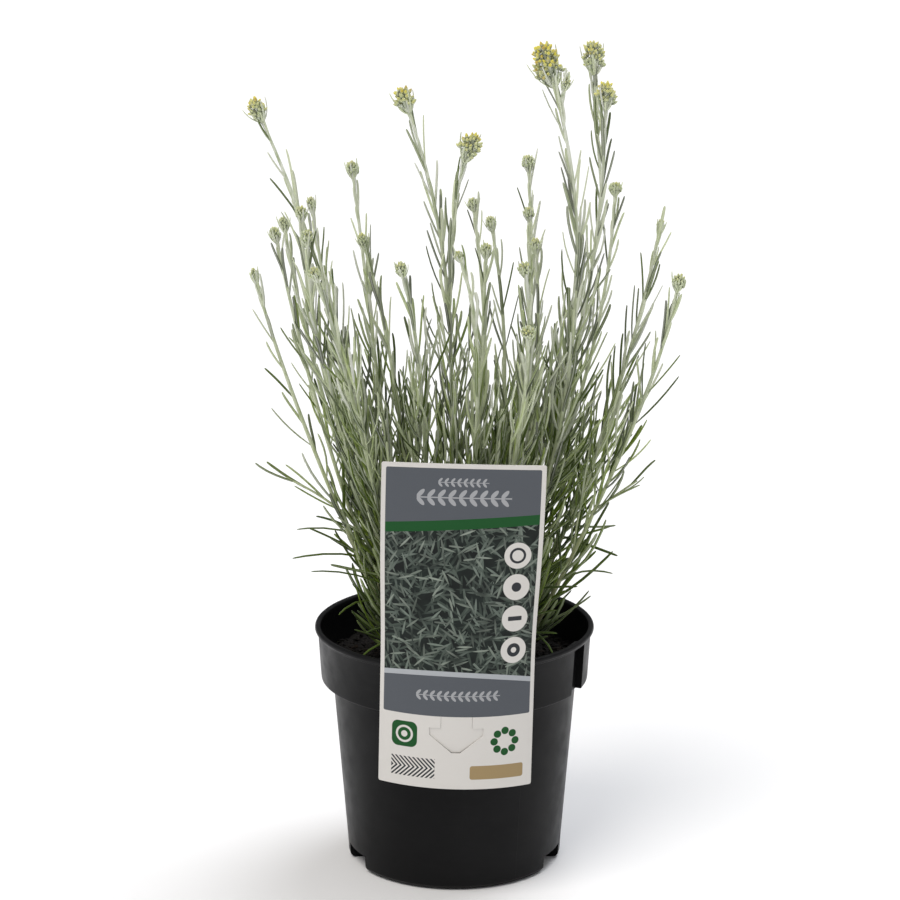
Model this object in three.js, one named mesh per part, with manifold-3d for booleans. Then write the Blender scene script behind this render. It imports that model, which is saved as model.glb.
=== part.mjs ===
// A potted curry plant: a black nursery pot, potting mix, a printed plant label and a silvery,
// needle-leaved herb in bud. Millimetres, +Z up. The origin is the centre of the pot's flat base,
// and the label faces -Y.

import * as THREE from 'three';
import { mergeVertices } from 'three/addons/utils/BufferGeometryUtils.js';
import Module from 'manifold-3d';

const wasm = await Module();
wasm.setup();

// The pot: radii are outside ones, at the heights that go with them.
const POT = {
  height: 122.8,
  wall: 1.2,
  beadRadius: 1.5,
  rimRadius: 70.3,
  collarTop: [68.8, 119.6],
  collarFoot: [67.3, 95.2],
  shoulderRadius: 61.4,
  footTop: [54.2, 3.7],
  baseRadius: 48.2,
  segments: 40,
};
// The recess for a tag in the right of the collar, open at the bottom.
const RECESS = { azimuth: 64.7, width: 12.7, depth: 3.4, top: 119.0 };
// The drain notches, which take the corner off where the pot's wall meets its base.
const NOTCH = { azimuths: [-66.5, 66.5, 113.5, -113.5], width: 20, top: 8.5, intoBase: 2 };
const SIDE_GAP = 0.35;

// The potting mix, a little below the collar's top.
const MIX = { surface: 103, crumb: 0.8, rings: [60, 46, 31], segments: 20 };

// The label: a stiff card, turned a little to the right and curved round the pot below the rim.
const LABEL = {
  width: 78,
  height: 163,
  thickness: 0.7,
  foot: 60.5,
  lean: 1.6,
  flatAbove: 223,
  topCurve: 0.12,
};
// The die-cut arrow in the label, from the top of its neck to its tip, and how far it is pushed back.
const ARROW = {
  top: 38,
  neck: 15.2,
  wings: 26,
  neckHeight: 7,
  wingHeight: 3.6,
  height: 19.5,
  slit: 0.45,
  push: 7,
};

// The plant: stem and leaf sizes.
const STEM = { bottomRadius: 1.45, topRadius: 0.9, sides: 5, steps: 6, depth: 8 };
// How far a stem's foot stands out in the crown, as a share of its low point's place.
const CROWN = { across: 0.43, deep: 0.6 };
const LEAF = {
  width: 0.8,
  thickness: 0.66,
  lowLength: 33,
  topLength: 18,
  lowAngle: 42,
  topAngle: 16,
  straightWithin: 1.6,
};
// How the leaves follow each other up a stem: one to each pitch and some more in its crowded foot. One in
// each few, as many as shown says, is built.
const LEAF_ORDER = { pitch: 5.2, inFoot: 8, crowding: 1.5, first: 0.045, reach: 0.93, shown: 3 };
const OPEN_HEAD = {
  fromWidth: 9,
  budRadius: 1.9,
  budLength: 4.6,
  budsPerMillimetre: 0.46,
  topBud: 2.2,
  levels: 1.72,
  lean: 0.75,
};
const CLOSED_HEAD = { sides: 8, budOut: 1.12, betweenBuds: 0.82 };
const GOLDEN_ANGLE = 137.508;
// What a leaf keeps clear of its neighbours.
const CLEARANCE = 0.45;

// Each shoot: two points that its stem passes, about a third and two thirds of the way up, the point
// where it ends, and the width and height of its flower head. The stem starts in the crown.
const SHOOTS = [
  { id: '01', low: [-38, 2, 189], high: [-60, 3, 281], end: [-93, 5, 375], head: [12, 13] },
  { id: '02', low: [-38, 19, 168], high: [-56, 30, 240], end: [-71, 44, 323], head: [5, 9] },
  { id: '03', low: [-43, -4, 177], high: [-64, -5, 252], end: [-74, -8, 328], head: [6, 8] },
  { id: '04', low: [-45, 12, 169], high: [-67, 18, 240], end: [-84, 26, 317], head: [6, 8] },
  { id: '05', low: [-49, 3, 170], high: [-70, 5, 241], end: [-87, 8, 315], head: [6, 8] },
  { id: '06', low: [-40, -16, 178], high: [-61, -24, 251], end: [-70, -34, 321], head: [6, 8] },
  { id: '07', low: [-51, -10, 168], high: [-76, -16, 236], end: [-95, -22, 300] },
  { id: '08', low: [-34, -27, 177], high: [-49, -43, 249], end: [-64, -62, 309], head: [6, 8] },
  { id: '09', low: [-29, 25, 171], high: [-40, 39, 249], end: [-51, 58, 339], head: [7, 9] },
  { id: '10', low: [-20, 7, 168], high: [-29, 10, 239], end: [-44, 14, 311], head: [6, 8] },
  { id: '11', low: [-2, -1, 192], high: [-3, -1, 285], end: [-22, -2, 380], head: [12, 14] },
  { id: '13', low: [12, 28, 166], high: [16, 45, 236], end: [10, 66, 321], head: [6, 7] },
  { id: '14', low: [18, 13, 167], high: [25, 22, 237], end: [19, 34, 316], head: [6, 8] },
  { id: '15', low: [10, -7, 171], high: [13, -10, 243], end: [15, -14, 311], head: [6, 8] },
  { id: '16', low: [-12, -25, 177], high: [-16, -41, 251], end: [-24, -60, 311], head: [6, 8] },
  { id: '17', low: [7, -28, 180], high: [11, -46, 256], end: [3, -66, 319], head: [5, 6] },
  { id: '18', low: [46, -12, 199], high: [59, -17, 298], end: [47, -24, 395], head: [16, 23] },
  { id: '20', low: [45, 1, 191], high: [65, 4, 287], end: [73, 8, 380], head: [12, 15] },
  { id: '21', low: [28, 31, 171], high: [38, 49, 247], end: [38, 72, 340], head: [7, 9] },
  { id: '22', low: [28, 15, 170], high: [36, 20, 242], end: [37, 30, 322], head: [6, 7] },
  { id: '23', low: [31, 2, 168], high: [40, 3, 240], end: [40, 4, 310], head: [6, 8] },
  { id: '24', low: [26, -15, 172], high: [35, -25, 243], end: [34, -36, 306], head: [7, 8] },
  { id: '25', low: [22, -32, 169], high: [31, -52, 235], end: [34, -76, 285], head: [7, 7] },
  { id: '26', low: [42, 23, 169], high: [67, 36, 244], end: [81, 54, 331], head: [7, 7] },
  { id: '27', low: [55, 9, 168], high: [81, 15, 238], end: [101, 22, 316] },
  { id: '28', low: [62, -13, 169], high: [90, -22, 238], end: [106, -34, 299], head: [7, 9] },
];
// Side branches near the top of a stem: where on the stem each leaves, its bend and its end.
const BRANCHES = [
  { id: '12', on: '11', from: 0.66, bend: [-2, -6, 338], end: [5, -12, 358], head: [13, 14] },
  { id: '19', on: '20', from: 0.86, bend: [69, 16, 376], end: [68, 18, 396], head: [12, 15] },
  { id: '18_side_bud', on: '18', from: 0.9, bend: [49, -28, 387], end: [51, -32, 394], head: [5, 8] },
];
// Long low leaves that arch out of the crown over the rim or down inside it: the stem that each grows
// from, how far up that stem, its highest bend and its tip.
const ARCHING_LEAVES = [
  { on: '07', at: 0.16, bend: [-50, -10, 166], tip: [-80, -20, 161] },
  { on: '05', at: 0.14, bend: [-42, 8, 158], tip: [-70, 20, 154] },
  { on: '08', at: 0.16, bend: [-38, -34, 160], tip: [-62, -54, 166] },
  { on: '07', at: 0.3, bend: [-66, -24, 186], tip: [-86, -30, 203] },
  { on: '03', at: 0.06, bend: [-36, -18, 124], tip: [-54, -24, 112] },
  { on: '27', at: 0.14, bend: [50, 14, 156], tip: [74, 24, 158] },
  { on: '28', at: 0.13, bend: [50, -16, 150], tip: [73, -30, 152] },
  { on: '28', at: 0.2, bend: [62, -34, 162], tip: [84, -44, 172] },
  { on: '26', at: 0.14, bend: [44, 34, 150], tip: [62, 48, 148] },
  { on: '21', at: 0.1, bend: [22, 46, 138], tip: [34, 60, 132] },
  { on: '09', at: 0.12, bend: [-22, 44, 142], tip: [-30, 66, 140] },
  { on: '25', at: 0.05, bend: [26, -36, 124], tip: [44, -44, 110] },
  { on: '24', at: 0.05, bend: [22, -24, 126], tip: [48, -30, 112] },
  { on: '13', at: 0.13, bend: [4, 46, 146], tip: [2, 72, 144] },
];

const finish = (color, roughness) => new THREE.MeshStandardMaterial({ color, roughness, metalness: 0 });
const MATERIALS = {
  pot: finish(0x2b2c2e, 0.45),
  mix: finish(0x1d1815, 0.95),
  label: finish(0xdcdde0, 0.4),
  leaves: finish(0x8a9a78, 0.85),
  yellowHead: finish(0xc9bd6a, 0.85),
  greenHead: finish(0xa9b588, 0.85),
};

// Joining, cutting and placing

function solid(geometry) {
  const bare = geometry.clone();
  bare.deleteAttribute('normal');
  bare.deleteAttribute('uv');
  const merged = mergeVertices(bare, 1e-4);
  const vertProperties = new Float32Array(merged.attributes.position.array);
  const triVerts = new Uint32Array(merged.index.array);
  return new wasm.Manifold(new wasm.Mesh({ numProp: 3, vertProperties, triVerts }));
}

// The largest body of a joined solid: a hollow that the joining seals is filled, and a scrap is dropped.
function outerBody(joined) {
  const bodies = joined.decompose();
  return bodies.reduce((best, body) => (body.volume() > best.volume() ? body : best));
}

function piece(name, joined, material) {
  const { vertProperties, triVerts } = joined.getMesh();
  const geometry = new THREE.BufferGeometry();
  geometry.setAttribute('position', new THREE.BufferAttribute(vertProperties, 3));
  geometry.setIndex(new THREE.BufferAttribute(triVerts, 1));
  geometry.computeVertexNormals();
  const mesh = new THREE.Mesh(geometry, material);
  mesh.name = name;
  return mesh;
}

// A turned solid about the Z axis, from [radius, height] points in counter-clockwise order.
function turned(points, segments) {
  const outline = points.map(([radius, height]) => new THREE.Vector2(radius, height));
  return new THREE.LatheGeometry(outline, segments).rotateX(Math.PI / 2);
}

// A straight bar whose section is drawn in radius and height, across the pot's wall at an azimuth that
// is counted from the front (-Y) towards +X.
function barAcrossWall(section, width, azimuth) {
  const shape = new THREE.Shape(section.map(([radius, height]) => new THREE.Vector2(radius, height)));
  const bar = new THREE.ExtrudeGeometry(shape, { depth: width, bevelEnabled: false });
  const angle = THREE.MathUtils.degToRad(azimuth);
  const outward = new THREE.Vector3(Math.sin(angle), -Math.cos(angle), 0);
  const up = new THREE.Vector3(0, 0, 1);
  const sideways = new THREE.Vector3().crossVectors(outward, up);
  bar.translate(0, 0, -width / 2);
  return bar.applyMatrix4(new THREE.Matrix4().makeBasis(outward, up, sideways));
}

// A repeatable random number from 0 to 1.
function draw(shoot, item, channel) {
  const seed = Math.imul(shoot + 1, 374761393) ^ Math.imul(item + 1, 668265263);
  let mixed = seed ^ Math.imul(channel + 1, 974634777);
  mixed = Math.imul(mixed ^ (mixed >>> 13), 1274126177);
  mixed ^= mixed >>> 16;
  return (mixed >>> 0) / 4294967296;
}

// The pot

function pot() {
  const { wall, height, beadRadius } = POT;
  const beadCentre = [POT.rimRadius - beadRadius, height - beadRadius];
  const bead = [-0.3, 0.08, 0.5].map((turn) => [
    beadCentre[0] + beadRadius * Math.cos(turn * Math.PI),
    beadCentre[1] + beadRadius * Math.sin(turn * Math.PI),
  ]);
  const [collarRadius, collarHeight] = POT.collarTop;
  const [skirtRadius, skirtHeight] = POT.collarFoot;
  const [footRadius, footHeight] = POT.footTop;
  const profile = [
    [0, 0],
    [POT.baseRadius, 0],
    [footRadius - 1, 1.2],
    [footRadius, footHeight],
    [POT.shoulderRadius, skirtHeight],
    [skirtRadius, skirtHeight],
    [collarRadius, collarHeight],
    ...bead,
    [collarRadius - wall, height - 0.6],
    [collarRadius - wall, collarHeight],
    [skirtRadius - wall, skirtHeight + wall],
    [POT.shoulderRadius - wall, skirtHeight + wall],
    [footRadius - wall, footHeight + 0.4],
    [POT.baseRadius, 1.5],
    [0, 1.5],
  ];
  let body = solid(turned(profile, POT.segments));

  const floor = skirtRadius - RECESS.depth;
  const backing = [
    [floor - wall, skirtHeight],
    [skirtRadius - wall / 2, skirtHeight],
    [collarRadius - wall / 2, RECESS.top + wall],
    [floor - wall, RECESS.top],
  ];
  body = body.add(solid(barAcrossWall(backing, RECESS.width + 2 * wall, RECESS.azimuth)));
  const recess = [
    [floor, skirtHeight - 1],
    [floor + 10, skirtHeight - 1],
    [floor + 10, RECESS.top],
    [floor, RECESS.top],
  ];
  body = body.subtract(solid(barAcrossWall(recess, RECESS.width, RECESS.azimuth)));

  const notch = [
    [POT.baseRadius - NOTCH.intoBase, -1],
    [footRadius + 4, -1],
    [footRadius + 4, NOTCH.top],
    [POT.baseRadius - NOTCH.intoBase, NOTCH.top],
  ];
  for (const azimuth of NOTCH.azimuths) {
    body = body.subtract(solid(barAcrossWall(notch, NOTCH.width, azimuth)));
  }
  return piece('pot', outerBody(body), MATERIALS.pot);
}

// The potting mix: it fills the pot to just under the rim, with a crumbly top and a plain hole for each
// stem.

function pottingMix(stemHoles) {
  const { wall } = POT;
  const [skirtRadius, skirtHeight] = POT.collarFoot;
  const ledge = skirtHeight + wall + SIDE_GAP;
  const ledgeRadius = POT.shoulderRadius - wall - SIDE_GAP;
  const rimRadius = skirtRadius - wall - SIDE_GAP + 0.3;
  const profile = [
    [0, 1.5 + SIDE_GAP],
    [POT.baseRadius - 4, 1.5 + SIDE_GAP],
    [POT.footTop[0] - wall - 1.6, 9.5],
    [ledgeRadius, ledge],
    [skirtRadius - wall - SIDE_GAP, ledge],
    [rimRadius, MIX.surface - 1],
    ...MIX.rings.map((radius) => [radius, MIX.surface]),
    [0, MIX.surface],
  ];
  const geometry = turned(profile, MIX.segments);
  const position = geometry.attributes.position;
  for (let i = 0; i < position.count; i += 1) {
    if (position.getZ(i) > MIX.surface - 0.5) {
      const x = position.getX(i);
      const y = position.getY(i);
      const lumps = Math.sin(0.31 * x + 0.9) * Math.sin(0.27 * y) + 0.6 * Math.sin(0.83 * x - 0.71 * y);
      position.setZ(i, MIX.surface + MIX.crumb * lumps);
    }
  }
  const besideRecess = [
    [skirtRadius - RECESS.depth - wall - SIDE_GAP, skirtHeight],
    [skirtRadius + 3, skirtHeight],
    [skirtRadius + 3, MIX.surface + 6],
    [skirtRadius - RECESS.depth - wall - SIDE_GAP, MIX.surface + 6],
  ];
  const recessWidth = RECESS.width + 2 * (wall + SIDE_GAP);
  const recess = solid(barAcrossWall(besideRecess, recessWidth, RECESS.azimuth));
  const body = wasm.Manifold.difference([solid(geometry), recess, ...stemHoles]);
  return piece('potting_mix', outerBody(body), MATERIALS.mix);
}

// The label

// A sheet bent round the pot: flat card coordinates are across and up from the middle of its foot.
function bentSheet(pushedBack) {
  const sheet = new THREE.BoxGeometry(LABEL.width, LABEL.thickness, LABEL.height, 8, 1, 7);
  const lean = THREE.MathUtils.degToRad(LABEL.lean);
  const push = Math.tan(THREE.MathUtils.degToRad(ARROW.push));
  const contactRadius = POT.rimRadius + SIDE_GAP + LABEL.thickness / 2;
  const position = sheet.attributes.position;
  for (let i = 0; i < position.count; i += 1) {
    const flatAcross = position.getX(i);
    const flatUp = position.getZ(i) + LABEL.height / 2;
    const across = flatAcross * Math.cos(lean) + flatUp * Math.sin(lean);
    const up = LABEL.foot + flatUp * Math.cos(lean) - flatAcross * Math.sin(lean);
    const easing = THREE.MathUtils.smoothstep(up, POT.height, LABEL.flatAbove);
    const radius = contactRadius / THREE.MathUtils.lerp(1, LABEL.topCurve, easing);
    const depth = position.getY(i);
    const setBack = pushedBack ? push * Math.max(0, LABEL.foot + ARROW.top - up) : 0;
    const angle = across / radius;
    const x = (radius - depth) * Math.sin(angle);
    const y = radius - contactRadius - (radius - depth) * Math.cos(angle) + setBack;
    position.setXYZ(i, x, y, up);
  }
  return solid(sheet);
}

// A bar from front to back whose outline is the arrow, grown all round by a margin.
function arrowBar(margin) {
  const neck = ARROW.neck / 2 + margin;
  const wings = ARROW.wings / 2 + margin;
  const wingTop = LABEL.foot + ARROW.top - ARROW.neckHeight + margin;
  const wingFoot = wingTop - ARROW.wingHeight - margin;
  const tip = LABEL.foot + ARROW.top - ARROW.height - margin;
  const outline = new THREE.Shape();
  outline.moveTo(-neck, LABEL.foot + ARROW.top);
  outline.lineTo(-neck, wingTop);
  outline.lineTo(-wings, wingTop);
  outline.lineTo(-wings, wingFoot);
  outline.lineTo(-2, tip);
  outline.lineTo(2, tip);
  outline.lineTo(wings, wingFoot);
  outline.lineTo(wings, wingTop);
  outline.lineTo(neck, wingTop);
  outline.lineTo(neck, LABEL.foot + ARROW.top);
  const bar = new THREE.ExtrudeGeometry(outline, { depth: 40, bevelEnabled: false });
  return solid(bar.rotateX(Math.PI / 2).translate(0, -POT.baseRadius, 0));
}

function label() {
  const window = arrowBar(ARROW.slit / 2);
  const tongue = bentSheet(true).intersect(arrowBar(-ARROW.slit / 2));
  const card = bentSheet(false).subtract(window);
  return piece('plant_label', outerBody(card.add(tongue)), MATERIALS.label);
}

// Stems, leaves and heads

// A limb that follows a path: a cylinder or a cone of unit size is bent along it. The side direction
// is square to the path's plane, and width and thickness are functions of the way along it.
function limb(form, path, sideAt, width, thickness) {
  const position = form.attributes.position;
  const point = new THREE.Vector3();
  for (let i = 0; i < position.count; i += 1) {
    const along = THREE.MathUtils.clamp(position.getY(i) + 0.5, 0, 1);
    const centreAway = Math.hypot(position.getX(i), position.getZ(i));
    const unit = centreAway > 1e-6 ? 1 / centreAway : 0;
    const tangent = path.getTangent(along);
    const side = sideAt(tangent);
    const face = new THREE.Vector3().crossVectors(side, tangent);
    point.copy(path.getPoint(along));
    point.addScaledVector(side, position.getX(i) * unit * width(along));
    point.addScaledVector(face, position.getZ(i) * unit * thickness(along));
    position.setXYZ(i, point.x, point.y, point.z);
  }
  return solid(form);
}

const stemRadius = (along) => THREE.MathUtils.lerp(STEM.bottomRadius, STEM.topRadius, along);

// A square-across direction for a stem, which never runs along Y.
function stemSide(tangent) {
  return new THREE.Vector3().crossVectors(tangent, new THREE.Vector3(0, 1, 0)).normalize();
}

// A smooth curve from the crown through the shoot's two points to its end.
function stemPath(shoot) {
  const [acrossLow, deepLow] = shoot.low;
  const start = new THREE.Vector3(acrossLow * CROWN.across, deepLow * CROWN.deep, MIX.surface - STEM.depth);
  const low = new THREE.Vector3(...shoot.low);
  const high = new THREE.Vector3(...shoot.high);
  const end = new THREE.Vector3(...shoot.end);
  const mix = (a, b, c, d) => new THREE.Vector3()
    .addScaledVector(start, a / 6)
    .addScaledVector(low, b / 6)
    .addScaledVector(high, c / 6)
    .addScaledVector(end, d / 6);
  return new THREE.CubicBezierCurve3(start, mix(-5, 18, -9, 2), mix(2, -9, 18, -5), end);
}

function stem(path, radius, steps) {
  const form = new THREE.CylinderGeometry(1, 1, 1, STEM.sides, steps);
  return limb(form, path, stemSide, radius, radius);
}

// A three-sided needle with its root inside the stem. One that bends has a second segment, which keeps
// its width to the middle of its length.
function leaf(curve, side) {
  const bow = curve.v0.clone().add(curve.v2).addScaledVector(curve.v1, -2).length() / 4;
  const segments = bow > LEAF.straightWithin ? 2 : 1;
  const rootShare = segments === 2 ? 0.5 : 0.85;
  const taper = (along) => (along < 0.25 ? rootShare : 1 - Math.floor(along));
  const form = new THREE.ConeGeometry(1, 1, 3, segments);
  return limb(form, curve, () => side, (t) => LEAF.width * taper(t), (t) => LEAF.thickness * taper(t));
}

// One leaf of a shoot: leaves follow each other by the golden angle, closer together low down, where they
// are longer and stand out more.
function leafPath(path, shootNumber, index, count) {
  const at = ((index + 0.5) / count) ** LEAF_ORDER.crowding * LEAF_ORDER.reach + LEAF_ORDER.first;
  const turn = THREE.MathUtils.degToRad(index * GOLDEN_ANGLE + 40 * draw(shootNumber, index, 0));
  const fullLength = THREE.MathUtils.lerp(LEAF.lowLength, LEAF.topLength, at);
  const length = fullLength * (0.8 + 0.35 * draw(shootNumber, index, 1));
  const rootAngle = THREE.MathUtils.lerp(LEAF.lowAngle, LEAF.topAngle, at);
  const tipAngle = rootAngle * (0.35 + 0.85 * draw(shootNumber, index, 2));
  const root = path.getPoint(at);
  const tangent = path.getTangent(at);
  const across = stemSide(tangent);
  const square = new THREE.Vector3().crossVectors(tangent, across);
  const outward = across.multiplyScalar(Math.cos(turn)).addScaledVector(square, Math.sin(turn));
  const reach = (angle, share) => {
    const radians = THREE.MathUtils.degToRad(angle);
    return root
      .clone()
      .addScaledVector(tangent, Math.cos(radians) * share * length)
      .addScaledVector(outward, Math.sin(radians) * share * length);
  };
  const curve = new THREE.QuadraticBezierCurve3(root, reach(rootAngle, 0.5), reach(tipAngle, 1));
  const side = new THREE.Vector3().crossVectors(tangent, outward).normalize();
  return { curve, side };
}

function archingPath(path, arch) {
  const root = path.getPoint(arch.at);
  const highest = new THREE.Vector3(...arch.bend);
  const tip = new THREE.Vector3(...arch.tip);
  const bend = highest.clone().multiplyScalar(2).addScaledVector(root, -0.5).addScaledVector(tip, -0.5);
  const curve = new THREE.QuadraticBezierCurve3(root, bend, tip);
  const rise = new THREE.Vector3().subVectors(bend, root);
  const side = new THREE.Vector3().subVectors(tip, root).cross(rise).normalize();
  return { curve, side };
}

// An open head: a core on the stem, and an egg of buds that lean up and out of it all round.
function openHead(width, height) {
  const { budRadius, budLength, budsPerMillimetre, topBud, levels, lean } = OPEN_HEAD;
  const half = (height - topBud) / 2;
  const middle = height - half - topBud;
  const coreRadius = width / 2 - budRadius * 1.35;
  const core = [
    [0, 0],
    [STEM.topRadius, 0],
    [coreRadius * 0.75, middle - half * 0.55],
    [coreRadius, middle - half * 0.1],
    [coreRadius * 0.6, middle + half * 0.55],
    [0, middle + half * 0.9],
  ];
  const bud = [
    [0, -budLength * 0.6],
    [budRadius, 0],
    [budRadius * 0.72, budLength * 0.3],
    [0, budLength * 0.4],
  ];
  const parts = [solid(turned(core, 5))];
  const budCount = Math.round((width + height) * budsPerMillimetre);
  for (let i = 0; i < budCount; i += 1) {
    const level = 1 - ((i + 0.5) / budCount) * levels;
    const turn = THREE.MathUtils.degToRad(i * GOLDEN_ANGLE);
    const girth = Math.sqrt(1 - level * level) * (1 - 0.16 * level);
    const outward = new THREE.Vector3(Math.cos(turn), Math.sin(turn), 0);
    const place = outward.clone().multiplyScalar(girth * (width / 2 - budRadius));
    place.z = middle + level * half;
    const axis = outward.multiplyScalar(lean * girth).add(new THREE.Vector3(0, 0, 1)).normalize();
    const towards = new THREE.Quaternion().setFromUnitVectors(new THREE.Vector3(0, 0, 1), axis);
    parts.push(solid(turned(bud, 4).applyQuaternion(towards).translate(place.x, place.y, place.z)));
  }
  return outerBody(wasm.Manifold.union(parts));
}

// A closed head: a button of tight buds, each a point that stands out of the turned form.
function closedHead(width, height) {
  const levels = [0, 0.3, 0.5, 0.72, 0.9];
  const radii = [0.16, 0.3, 0.44, 0.4, 0.24];
  const profile = levels.map((level, i) => [radii[i] * width, level * height]);
  const form = turned([[0, 0], ...profile, [0, height * 0.94]], CLOSED_HEAD.sides);
  const position = form.attributes.position;
  for (let i = 0; i < position.count; i += 1) {
    const ring = levels.findIndex((level) => Math.abs(level * height - position.getZ(i)) < 1e-3);
    const turn = Math.atan2(position.getY(i), position.getX(i)) / (2 * Math.PI);
    const place = Math.round(turn * CLOSED_HEAD.sides);
    const isBud = ring > 0 && Math.abs(place + ring) % 2 === 0;
    const out = isBud ? CLOSED_HEAD.budOut : CLOSED_HEAD.betweenBuds;
    const lift = isBud ? height * 0.06 : 0;
    if (ring > 0) {
      position.setXYZ(i, position.getX(i) * out, position.getY(i) * out, position.getZ(i) + lift);
    }
  }
  return solid(form);
}

// A head seated just clear of its stem's end, in line with it.
function head(shoot, path) {
  const [width, height] = shoot.head;
  const open = width > OPEN_HEAD.fromWidth;
  const form = open ? openHead(width, height) : closedHead(width, height);
  const along = path.getTangent(1);
  const seat = path.getPoint(1).addScaledVector(along, SIDE_GAP);
  const upright = new THREE.Quaternion().setFromUnitVectors(new THREE.Vector3(0, 0, 1), along);
  const placing = new THREE.Matrix4().compose(seat, upright, new THREE.Vector3(1, 1, 1));
  return { form: form.transform(placing.elements), width, height, seat, along, open };
}

// What a leaf of another node must keep clear of, as thick straight lines.

function thickLines(curve, owner, steps, radius) {
  const points = curve.getPoints(steps);
  return points.slice(1).map((point, i) => ({
    line: new THREE.Line3(points[i], point),
    owner,
    radius: radius(i / steps),
    free: i > 0,
  }));
}

function isClear(candidate, placed) {
  return candidate.every((part) => placed.every((other) => {
    const apart = Math.sqrt(part.line.distanceSqToLine3(other.line));
    if (other.owner === part.owner) {
      return apart > part.radius || !part.free || !other.free;
    }
    return apart > part.radius + other.radius + CLEARANCE;
  }));
}

// A leaf stays out of the potting mix, the pot's wall and the label.
function isInTheOpen(curve) {
  return curve.getPoints(8).slice(1).every((point) => {
    const away = Math.hypot(point.x, point.y);
    const aboveMix = point.z > MIX.surface + 3;
    const besideWall = away < POT.collarFoot[0] - 6 || point.z > POT.height + 2;
    const behindLabel = point.z > LABEL.foot + LABEL.height + 2 || point.y > 3 - POT.rimRadius;
    return aboveMix && besideWall && behindLabel;
  });
}

function plant() {
  const shoots = SHOOTS.map((shoot, number) => {
    const path = stemPath(shoot);
    const branches = BRANCHES.filter((branch) => branch.on === shoot.id).map((branch) => ({
      ...branch,
      path: new THREE.QuadraticBezierCurve3(
        path.getPoint(branch.from),
        new THREE.Vector3(...branch.bend),
        new THREE.Vector3(...branch.end),
      ),
    }));
    return { ...shoot, number, path, branches };
  });

  const placed = [];
  const heads = [];
  for (const shoot of shoots) {
    placed.push(...thickLines(shoot.path, shoot.id, 10, stemRadius));
    for (const tip of [shoot, ...shoot.branches]) {
      if (tip !== shoot) {
        placed.push(...thickLines(tip.path, shoot.id, 3, () => STEM.topRadius));
      }
      if (tip.head) {
        const bloom = head(tip, tip.path);
        const owner = `${tip.id} head`;
        const middle = bloom.seat.clone().addScaledVector(bloom.along, bloom.height * 0.55);
        const top = bloom.seat.clone().addScaledVector(bloom.along, bloom.height * 0.7);
        placed.push({ line: new THREE.Line3(middle, top), owner, radius: bloom.width / 2 });
        placed.push({ line: new THREE.Line3(bloom.seat, middle), owner, radius: bloom.width * 0.3 });
        const material = bloom.open ? MATERIALS.yellowHead : MATERIALS.greenHead;
        heads.push(piece(`flower_head_${tip.id}`, bloom.form, material));
      }
    }
  }

  const growing = shoots.map((shoot) => [stem(shoot.path, stemRadius, STEM.steps)]);
  const grow = (shoot, { curve, side }) => {
    const lines = thickLines(curve, shoot.id, 2, () => LEAF.width);
    if (!isInTheOpen(curve) || !isClear(lines, placed)) {
      return false;
    }
    placed.push(...lines);
    growing[shoot.number].push(leaf(curve, side));
    return true;
  };
  for (const shoot of shoots) {
    for (const branch of shoot.branches) {
      growing[shoot.number].push(stem(branch.path, () => STEM.topRadius, 3));
    }
    for (const arch of ARCHING_LEAVES.filter(({ on }) => on === shoot.id)) {
      grow(shoot, archingPath(shoot.path, arch));
    }
  }
  for (const shoot of shoots) {
    const count = Math.round(shoot.path.getLength() / LEAF_ORDER.pitch) + LEAF_ORDER.inFoot;
    for (let first = 0; first < count; first += LEAF_ORDER.shown) {
      for (let index = first; index < Math.min(first + LEAF_ORDER.shown, count); index += 1) {
        if (grow(shoot, leafPath(shoot.path, shoot.number, index, count))) {
          break;
        }
      }
    }
  }

  const stems = shoots.map((shoot) => {
    const joined = outerBody(wasm.Manifold.union(growing[shoot.number]));
    return piece(`leafy_stem_${shoot.id}`, joined, MATERIALS.leaves);
  });
  return { shoots, stems, heads };
}

// A hole in the mix for a stem, a little wider and deeper than it.
function stemHole(path) {
  const start = path.getPoint(0);
  const direction = path.getTangent(0);
  const radius = STEM.bottomRadius + SIDE_GAP + 0.2;
  const length = STEM.depth * 2.2;
  const hole = new THREE.CylinderGeometry(radius, radius, length, 6).rotateX(Math.PI / 2);
  hole.translate(0, 0, length / 2 - SIDE_GAP);
  hole.applyQuaternion(new THREE.Quaternion().setFromUnitVectors(new THREE.Vector3(0, 0, 1), direction));
  return solid(hole.translate(start.x, start.y, start.z));
}

const { shoots, stems, heads } = plant();
const pottedPlant = new THREE.Group();
pottedPlant.add(pot(), pottingMix(shoots.map((shoot) => stemHole(shoot.path))), label());
pottedPlant.add(...stems, ...heads);

export default pottedPlant;
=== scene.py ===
"""A potted curry plant: a black nursery pot of potting mix, a printed plant label and a silvery,
needle-leaved herb in bud. The file is laid out as an add-on and is run as a script. Sizes are in
millimetres here and in metres in the scene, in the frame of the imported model: +Z is up, the pot's base
stands on the origin and the label faces -Y."""

import math

import bmesh
import bpy
from bpy.props import FloatProperty, FloatVectorProperty, IntProperty, PointerProperty
from mathutils import Matrix, Vector, noise


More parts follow.
